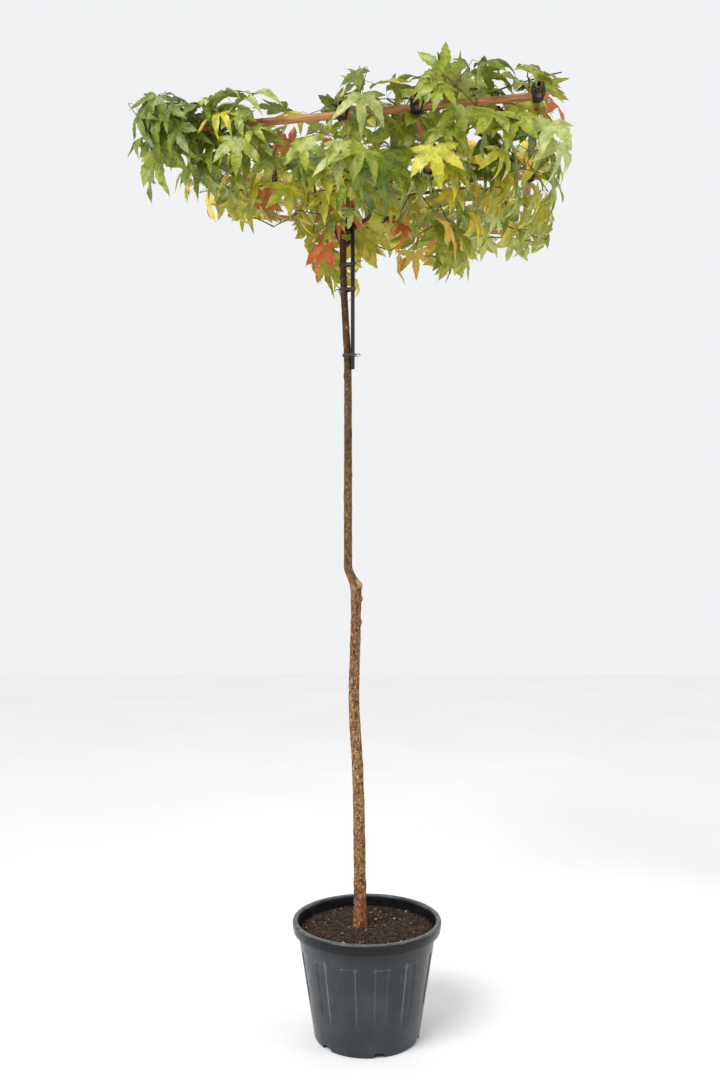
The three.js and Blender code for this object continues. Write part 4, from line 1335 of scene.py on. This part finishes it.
# one mass of foliage while it grows
class Growth:
    def __init__(self, mass, start, run):
        self.mass = mass
        self.dice = random.Random(mass["seed"])
        reach = Vector((crown["boxReach"], crown["boxReach"], 0))
        self.box = (mass["middle"] - reach, mass["middle"] + reach)
        self.box[0].z = frameLevel(mass["middle"]) - mass["hang"]
        self.box[1].z = frameLevel(mass["middle"]) + mass["lift"]
        self.leafCount = round(spaceVolume(mass, self.box, self.dice) / crown["room"])
        far = mass["middle"].lerp(start, -twigs["stemPast"])
        far.z = frameLevel(far) - twigs["stemBelow"]
        steps = twigs["stemSteps"]
        bend = start + run * twigs["stemRun"]
        stem = waveringPath(start, bend, far, steps, twigs["wander"], self.dice)
        self.paths = [(stem, taper(steps, twigs["stem"], twigs["main"][1] * twigs["tip"]))]
        self.growing = growingPoints(stem, 0)
        self.ends = [self.growing[-1]]
        self.filled = [far.copy()]  # twigs keep away from these, and leaves from the blades
        self.blades = [each["place"] for each in self.growing]
        self.leaves = []

    def nearFrame(self, place):
        above = place.z - frameLevel(place)
        return -twigs["downShare"] * self.mass["hang"] < above < twigs["upShare"] * self.mass["lift"]

    # of a few random places in the mass's space, the one furthest from what fills it
    def emptiestPlace(self, filled, wanted=None):
        best, bestRoom, found = None, -1, 0
        for _ in range(crown["looks"]):
            place = randomPlace(*self.box, self.dice)
            if not inOwnSpace(self.mass, place) or (wanted and not wanted(place)):
                continue
            found += 1
            room = min((other - place).length_squared for other in filled)
            if room > bestRoom:
                best, bestRoom = place, room
            if found == crown["choices"]:
                break
        return best

    def addTwigs(self, count, kind, wanted):
        longest, thick, thin, steps = twigs[kind]
        made = 0
        for _ in range(count * crown["tries"]):
            target = self.emptiestPlace(self.filled, wanted)
            if made == count or not target:
                break
            root = nearestOf(self.growing, target)["place"]
            away = target - root
            if away.length > longest:
                away *= longest / away.length
            if away.length < twigs["shortest"]:
                continue
            target = root + away
            bend = root.lerp(target, 0.5) + Vector((0, 0, self.dice.uniform(*twigs["arch"])))
            path = waveringPath(root, bend, target, steps, twigs["wander"], self.dice)
            fits = all(inCrown(self.mass, point) for point in path[1:])
            if not fits or roomAround(path[2:]) < thick + twigs["clearance"]:
                continue
            self.paths.append((path, taper(steps, thick, thin)))
            self.growing.extend(growingPoints(path, len(self.paths) - 1))
            self.ends.append(self.growing[-1])
            self.filled.append(target)
            made += 1

    def addLeaf(self, source, target, overEdge=False):
        size = mix(*leaf["size"], self.dice.random() ** 0.7)
        if target.z > frameLevel(target) + leaf["topHeight"]:
            size *= leaf["topSize"]
        junction, turn = seatLeaf(source["place"], target, self.dice)
        length = leaf["length"] * size
        side, along, face = turn.col
        centre = junction + along * (length * leaf["middle"])
        drop = face * (length * leaf["drop"])
        tips = [junction + along * (length * ahead) + side * (length * across) - drop
                for ahead, across in leaf["tips"]]
        if not all(inCrown(self.mass, tip, leaf["slack"]) for tip in tips):
            return False
        if not inOwnSpace(self.mass, centre):
            return False
        if any((centre - other["centre"]).length < leaf["spacing"] for other in self.leaves):
            return False
        if not overEdge and self.dice.random() < thinning(centre):
            return False
        if roomAround([centre, junction] + [centre.lerp(tip, 0.6) for tip in tips]) < leaf["clearance"]:
            return False
        self.leaves.append({"root": source["place"], "junction": junction, "turn": turn, "size": size,
                            "centre": centre, "twig": source["twig"]})
        self.blades.append(centre)
        return True

    def leafBrim(self, count, wanted):
        made = 0
        for _ in range(count * crown["tries"]):
            target = self.emptiestPlace(self.blades, wanted)
            if made == count or not target:
                break
            made += self.addLeaf(nearestOf(self.growing, target), target, True)

    def leafEnds(self):
        reach = leaf["endReach"]
        for end in self.ends:
            for _ in range(crown["tries"]):
                away = Vector([self.dice.uniform(-reach, reach) for axis in range(3)])
                if self.addLeaf(end, end["place"] + away):
                    break

    def leafSpace(self):
        enough = len(self.leaves) + self.leafCount - len(self.ends)
        for _ in range(self.leafCount * crown["tries"]):
            if len(self.leaves) >= enough:
                break
            target = self.emptiestPlace(self.blades)
            self.addLeaf(nearestOf(self.growing, target), target)

    def grow(self):
        front = self.mass["row"] == "front"
        edges = [(count, partial(overBrim, *where)) for count, *where in brims] if front else []
        for count, wanted in edges:
            self.addTwigs(count // twigs["leavesPerBrimTwig"], "brim", wanted)
        count = math.ceil(self.leafCount / twigs["leaves"] / (1 + twigs["finePerTwig"]))
        self.addTwigs(count, "main", self.nearFrame)
        self.addTwigs(round(count * twigs["finePerTwig"]), "fine", self.nearFrame)
        for count, wanted in edges:
            self.leafBrim(count, wanted)
        self.leafEnds()
        self.leafSpace()
        return self.paths, self.leaves


# kinds of leaf: lobes as degrees from the middle one and share of its length, how far in the
# notches lie and how wide the lobes are, then how the blade bends
kindLabels = ("lobes", "notch", "belly", "droop", "fold", "twist", "wave")
leafKinds = [dict(zip(kindLabels, row)) for row in [
    ([(0, 1), (50, 0.92), (104, 0.62)], 0.31, 0.26, 0.75, 0.35, 0.35, 0.040),
    ([(0, 1), (47, 0.90), (98, 0.58)], 0.34, 0.30, 0.45, 0.25, 0.35, 0.050),
    ([(0, 1), (54, 0.97), (112, 0.70)], 0.29, 0.24, 1.05, 0.50, 0.45, 0.050),
    ([(0, 1), (52, 0.90), (106, 0.62), (150, 0.26)], 0.32, 0.28, 0.90, 0.30, 0.40, 0.060),
    ([(0, 1), (44, 0.96), (92, 0.56)], 0.30, 0.20, 1.30, 0.65, 0.60, 0.060),
    ([(0, 1), (50, 0.86), (100, 0.55)], 0.35, 0.32, 0.20, 0.45, 0.50, 0.070),
    ([(0, 1), (46, 0.92), (96, 0.60)], 0.32, 0.24, 1.60, 0.90, 0.80, 0.090),
    ([(0, 1), (40, 0.84), (84, 0.52)], 0.40, 0.10, 2.30, 1.20, 0.90, 0.120),
]]
freshKinds = (5, 4, 6, 5, 3, 3, 2)  # their shares; the last kind is the withered leaf


# bends a flat leaf: it droops all round, each lobe is folded along its rib and turned a little
def bentPoint(point, across, twist, kind, phase):
    reach = math.hypot(*point)
    if reach == 0:
        return Vector((0, 0, 0))
    length = leaf["length"]
    turn = math.atan2(*point)
    rate = kind["droop"] * (1 + 0.35 * math.sin(turn * 2.3 + phase)) / length
    out = math.sin(rate * reach) / rate
    drop = (1 - math.cos(rate * reach)) / rate
    lift = kind["fold"] * abs(across) + twist * across * reach / length
    lift += kind["wave"] * length * math.sin(turn * 5 + reach / length * 7 + phase) * reach / length
    return Vector((point[0] / reach * out, point[1] / reach * out, lift - drop))


# a leaf's flat outline: each point's place, how far across its lobe it is, the lobe's twist, and 1 on
# a rib or 0 on the edge
class Blade:
    def __init__(self):
        self.points, self.faces = [((0.0, 0.0), 0.0, 0.0, 1.0)], []

    def add(self, place, across=0, twist=0, vein=0.0):
        self.points.append((tuple(place), across, twist, vein))
        return len(self.points) - 1

    def addLobe(self, kind, turn, reach, notches, dice):
        steps = leaf["steps"]
        angle = math.radians(turn)
        forward = Vector((math.sin(angle), math.cos(angle)))
        right = Vector((math.cos(angle), -math.sin(angle)))
        twist = kind["twist"] * dice.uniform(-1, 1)
        corners = [Vector(self.points[notch][0]) for notch in notches]
        inner = max(min(corner.dot(forward) for corner in corners), 0.16 * leaf["length"])
        middle = [self.add(forward * mix(inner, reach, step / steps), vein=1.0) for step in range(steps)]
        tip = self.add(forward * reach, vein=0.6)
        for sign, notch, corner in zip((-1, 1), notches, corners):
            row = [notch]
            for step in range(1, steps):
                t = step / steps
                wide = abs(corner.dot(right)) * (1 - t ** 1.7) * (1 + kind["belly"] * math.sin(math.pi * t))
                wide *= (0.90 if step % 2 else 1.10) * dice.uniform(0.93, 1.07)  # teeth
                place = forward * mix(corner.dot(forward), reach, t) + right * (wide * sign)
                row.append(self.add(place, wide * sign, twist))
            strip = [(0, middle[0], row[0])]
            strip += [(middle[i], middle[i + 1], row[i + 1], row[i]) for i in range(steps - 1)]
            strip.append((middle[-1], tip, row[-1]))
            self.faces.extend(tuple(reversed(face)) if sign > 0 else face for face in strip)


def leafMesh(kind, number):
    dice = random.Random(leaf["seed"] + number)
    length, half = leaf["length"], kind["lobes"]
    lobes = [(-turn, share) for turn, share in reversed(half[1:])] + half
    lobes = [(turn + dice.uniform(-4, 4), share * dice.uniform(0.92, 1.06) * length)
             for turn, share in lobes]
    between = [(a[0] + b[0]) / 2 for a, b in zip(lobes, lobes[1:])]
    blade, notches = Blade(), []
    for turn in (lobes[0][0] - 42, *between, lobes[-1][0] + 42):
        reach = kind["notch"] * length * (dice.uniform(0.92, 1.08) if turn in between else 0.3)
        angle = math.radians(turn)
        nearby = min(abs(turn - lobe[0]) for lobe in lobes)
        across = reach * math.sin(math.radians(nearby))
        notches.append(blade.add((math.sin(angle) * reach, math.cos(angle) * reach), across))
    for index, (turn, reach) in enumerate(lobes):
        blade.addLobe(kind, turn, reach, notches[index:index + 2], dice)
    phase = dice.uniform(0, 6)
    places, sideways, twists, veins = zip(*blade.points)
    upper = [bentPoint(*point, kind, phase) for point in zip(places, sideways, twists)]
    return thinSolid(f"leaf{number}", upper, blade.faces, list(veins))


# gives a sheet its underside and edge
def thinSolid(name, upper, faces, veins):
    count = len(upper)
    points = upper + [point - Vector((0, 0, leaf["thickness"])) for point in upper]
    once = {}
    for face in faces:
        for a, b in zip(face, face[1:] + face[:1]):
            if (b, a) in once:
                del once[(b, a)]
            else:
                once[(a, b)] = True
    under = [tuple(count + i for i in reversed(face)) for face in faces]
    rim = [(b, a, a + count, b + count) for a, b in once]
    mesh = newMesh(name, points, faces + under + rim)
    setAttribute(mesh, "vein", "FLOAT", veins + veins)
    flags = mesh.attributes.new("underside", "BOOLEAN", "FACE")
    flags.data.foreach_set("value", [False] * len(faces) + [True] * (len(under) + len(rim)))
    mesh.set_sharp_from_angle(angle=math.radians(60))
    return mesh


leafTints = {
    # main, patches, edge, roughness
    "deepGreen": ((112, 130, 28), (70, 92, 20), (108, 104, 28), 0.32),
    "green": ((156, 164, 44), (102, 124, 28), (152, 130, 40), 0.32),
    "greyGreen": ((186, 192, 114), (140, 158, 74), (168, 158, 80), 0.42),
    "lime": ((204, 196, 54), (150, 158, 40), (200, 150, 48), 0.36),
    "yellow": ((234, 208, 60), (190, 180, 46), (196, 126, 44), 0.42),
    "orange": ((226, 162, 56), (206, 176, 56), (164, 70, 34), 0.44),
    "red": ((196, 76, 38), (206, 122, 50), (104, 34, 30), 0.44),
    "brown": ((158, 116, 82), (128, 88, 62), (96, 60, 52), 0.70),
}
# places where leaves have turned early
redSpots = [(-0.140, -0.152, 2.417), (-0.333, 0.077, 2.643), (0.116, -0.142, 2.503),
            (-0.093, -0.205, 2.761), (-0.246, -0.204, 2.755), (0.516, -0.506, 2.724)]
redReach = 0.020
sprayShare = 0.6  # of the leaves on one twig take its first leaf's tint
undersides = {"tint": (214, 214, 130), "share": 0.30, "rougher": 0.15}  # paler and duller than the tops, and brighter still as painted light for faces that look down, away from the light


def leafMaterial(name, main, patch, edge, roughness):
    paint = Paint(name, roughness, Specular_IOR_Level=0.42)
    vein = paint.attribute("vein")  # 1 on the ribs, 0 on the edge
    base = paint.blend(paint.patches(42, 0.38, 0.64, 4, 0.65), main, patch)
    edged = paint.blend(paint.between(vein, 0.22, 0.02, most=0.5), base, edge)
    pale = tuple(mix(channel, light, 0.30) for channel, light in zip(main, colour(236, 236, 170)))
    ribbed = paint.blend(paint.between(vein, 0.88, 0.99, most=0.35), edged, pale)
    shade = (*[channel * 0.42 for channel in patch[:3]], 1)
    blotches = paint.patches(120, 0.52, 0.68, 4, 0.7, most=0.44)
    paint.feed("Base Color", paint.blend(blotches, ribbed, shade))
    paint.bump(paint.noise(110, 4), 0.0022, 0.55)
    return paint.material


# how far a spray has turned: green outside and on the left, yellow inside, low down and on the right
def sprayTint(place, dice):
    inner = 1 - min(abs(place.x) / 0.62, 1) ** 1.5
    depth = ease(-0.48, -0.22, place.y) * (1 - 0.5 * ease(0.30, 0.62, place.y))
    low = ease(0.02, -0.22, place.z - frameLevel(place))
    right = ease(-0.25, 0.40, place.x)
    above = ease(0.02, 0.10, place.z - frameLevel(place))
    ripe = 0.18 + 0.14 * inner + 0.31 * depth + 0.07 * low + 0.12 * right - 0.20 * above
    ripe += dice.gauss(0, 0.22)
    for limit, name in ((0.34, "deepGreen"), (0.54, "green"), (0.61, "greyGreen"), (0.80, "lime"),
                        (0.98, "yellow"), (1.06, "orange"), (1.20, "red")):
        if ripe < limit:
            return name
    return "brown"


def leafTintsOf(leaves, seed):
    dice = random.Random(seed)
    sprays, tints = {}, []
    for each in leaves:
        own = sprayTint(each["centre"], dice)
        shared = sprays.setdefault(each["twig"], own)
        early = any((each["centre"] - Vector(spot)).length < redReach for spot in redSpots)
        tints.append("red" if early else shared if dice.random() < sprayShare else own)
    return tints


# a bough from the trunk to each mass but the one that grows from the trunk's tip, and where and
# which way each mass starts
def growBoughs(dice):
    tipRun = Vector((-0.25, -0.75, 0.6)).normalized()
    paths, starts = [], {crown["trunkMass"]: (trunkAxis(trunk["top"]), tipRun)}
    steps = bough["steps"]
    for index, mass in enumerate(mass for mass in masses if mass["name"] != crown["trunkMass"]):
        start, bend, end = boughLine(mass, index)
        path = waveringPath(start, bend, end, steps, bough["wander"], dice)
        paths.append((path, [mix(bough["thick"], bough["thin"], i / steps) for i in range(steps + 1)]))
        starts[mass["name"]] = (end, (end - bend).normalized())
    return paths, starts


def petiolePath(each):
    root, junction, steps = each["root"], each["junction"], petiole["steps"]
    bend = root.lerp(junction, petiole["bendAt"]) - each["turn"].col[1] * petiole["bendBack"]
    bend += Vector((0, 0, petiole["bendUp"]))
    path = [curvePoint(root, bend, junction, i / steps) for i in range(steps + 1)]
    return path, [petiole["radius"] * petiole["foot"]] + [petiole["radius"]] * steps


def makeLeaves(dealt, foliage):
    shapes = shapeCollection("leafShape", [leafMesh(kind, i) for i, kind in enumerate(leafKinds)])
    for name, (*tints, roughness) in leafTints.items():
        if not dealt[name]:
            continue
        top = [colour(*tint) for tint in tints]
        # the undersides' paler tint is partly their own colour and partly painted light
        share = undersides["share"]
        under = [colour(*[mix(channel, light, share) for channel, light in zip(tint, undersides["tint"])])
                 for tint in tints]
        upper = leafMaterial(f"{name}Top", *top, roughness)
        lower = leafMaterial(f"{name}Under", *under, roughness + undersides["rougher"])
        leaves = setOutShapes(name, dealt[name], shapes, upper, lower)
        addPiece(f"{name}Leaves", leaves, None, foliage)
    dropCollection(shapes)


def makeCrown():
    dice = random.Random(crown["seed"])
    twigPaths, petioles = [], []
    dealt = {name: [] for name in leafTints}
    boughPaths, starts = growBoughs(dice)
    for mass in masses:
        paths, leaves = Growth(mass, *starts[mass["name"]]).grow()
        kindDice = random.Random(mass["seed"] + 1)
        twigPaths.extend(paths)
        for each, tint in zip(leaves, leafTintsOf(leaves, mass["tintSeed"])):
            kind = kindDice.choices(range(len(freshKinds)), freshKinds)[0]
            shape = len(freshKinds) if tint == "brown" else kind
            dealt[tint].append((each["junction"], each["turn"], Vector((each["size"],) * 3), shape))
            petioles.append(petiolePath(each))
        print("mass", mass["name"], len(paths), "twigs", len(leaves), "leaves")
    for *line, thick in bareShoots:
        path = waveringPath(*[Vector(point) for point in line], shootSteps, shootWander, dice)
        twigPaths.append((path, taper(shootSteps, thick, thick * twigs["tip"])))
    print("crown", len(petioles), "leaves")
    foliage = namesWith("foliage_")
    addPiece("boughLimbs", tubes("boughs", boughPaths, 14, bark), [bark], namesWith("bough_"))
    skin = {"patches": (45, 0.32, 0.68, 4), "grain": (600, 3, 0.0004, 0.7)}
    twigBark = twoTints("twigBark", 0.7, (62, 42, 30), (122, 86, 54), **skin)
    addPiece("crownTwigs", tubes("twigs", twigPaths, 6, twigBark), [twigBark], foliage)
    stalk = twoTints("petioles", 0.7, (142, 142, 62), (168, 118, 66), **skin)
    addPiece("leafStalks", tubes("petioles", petioles, 4, stalk), [stalk], foliage)
    makeLeaves(dealt, foliage)


makeCrown()
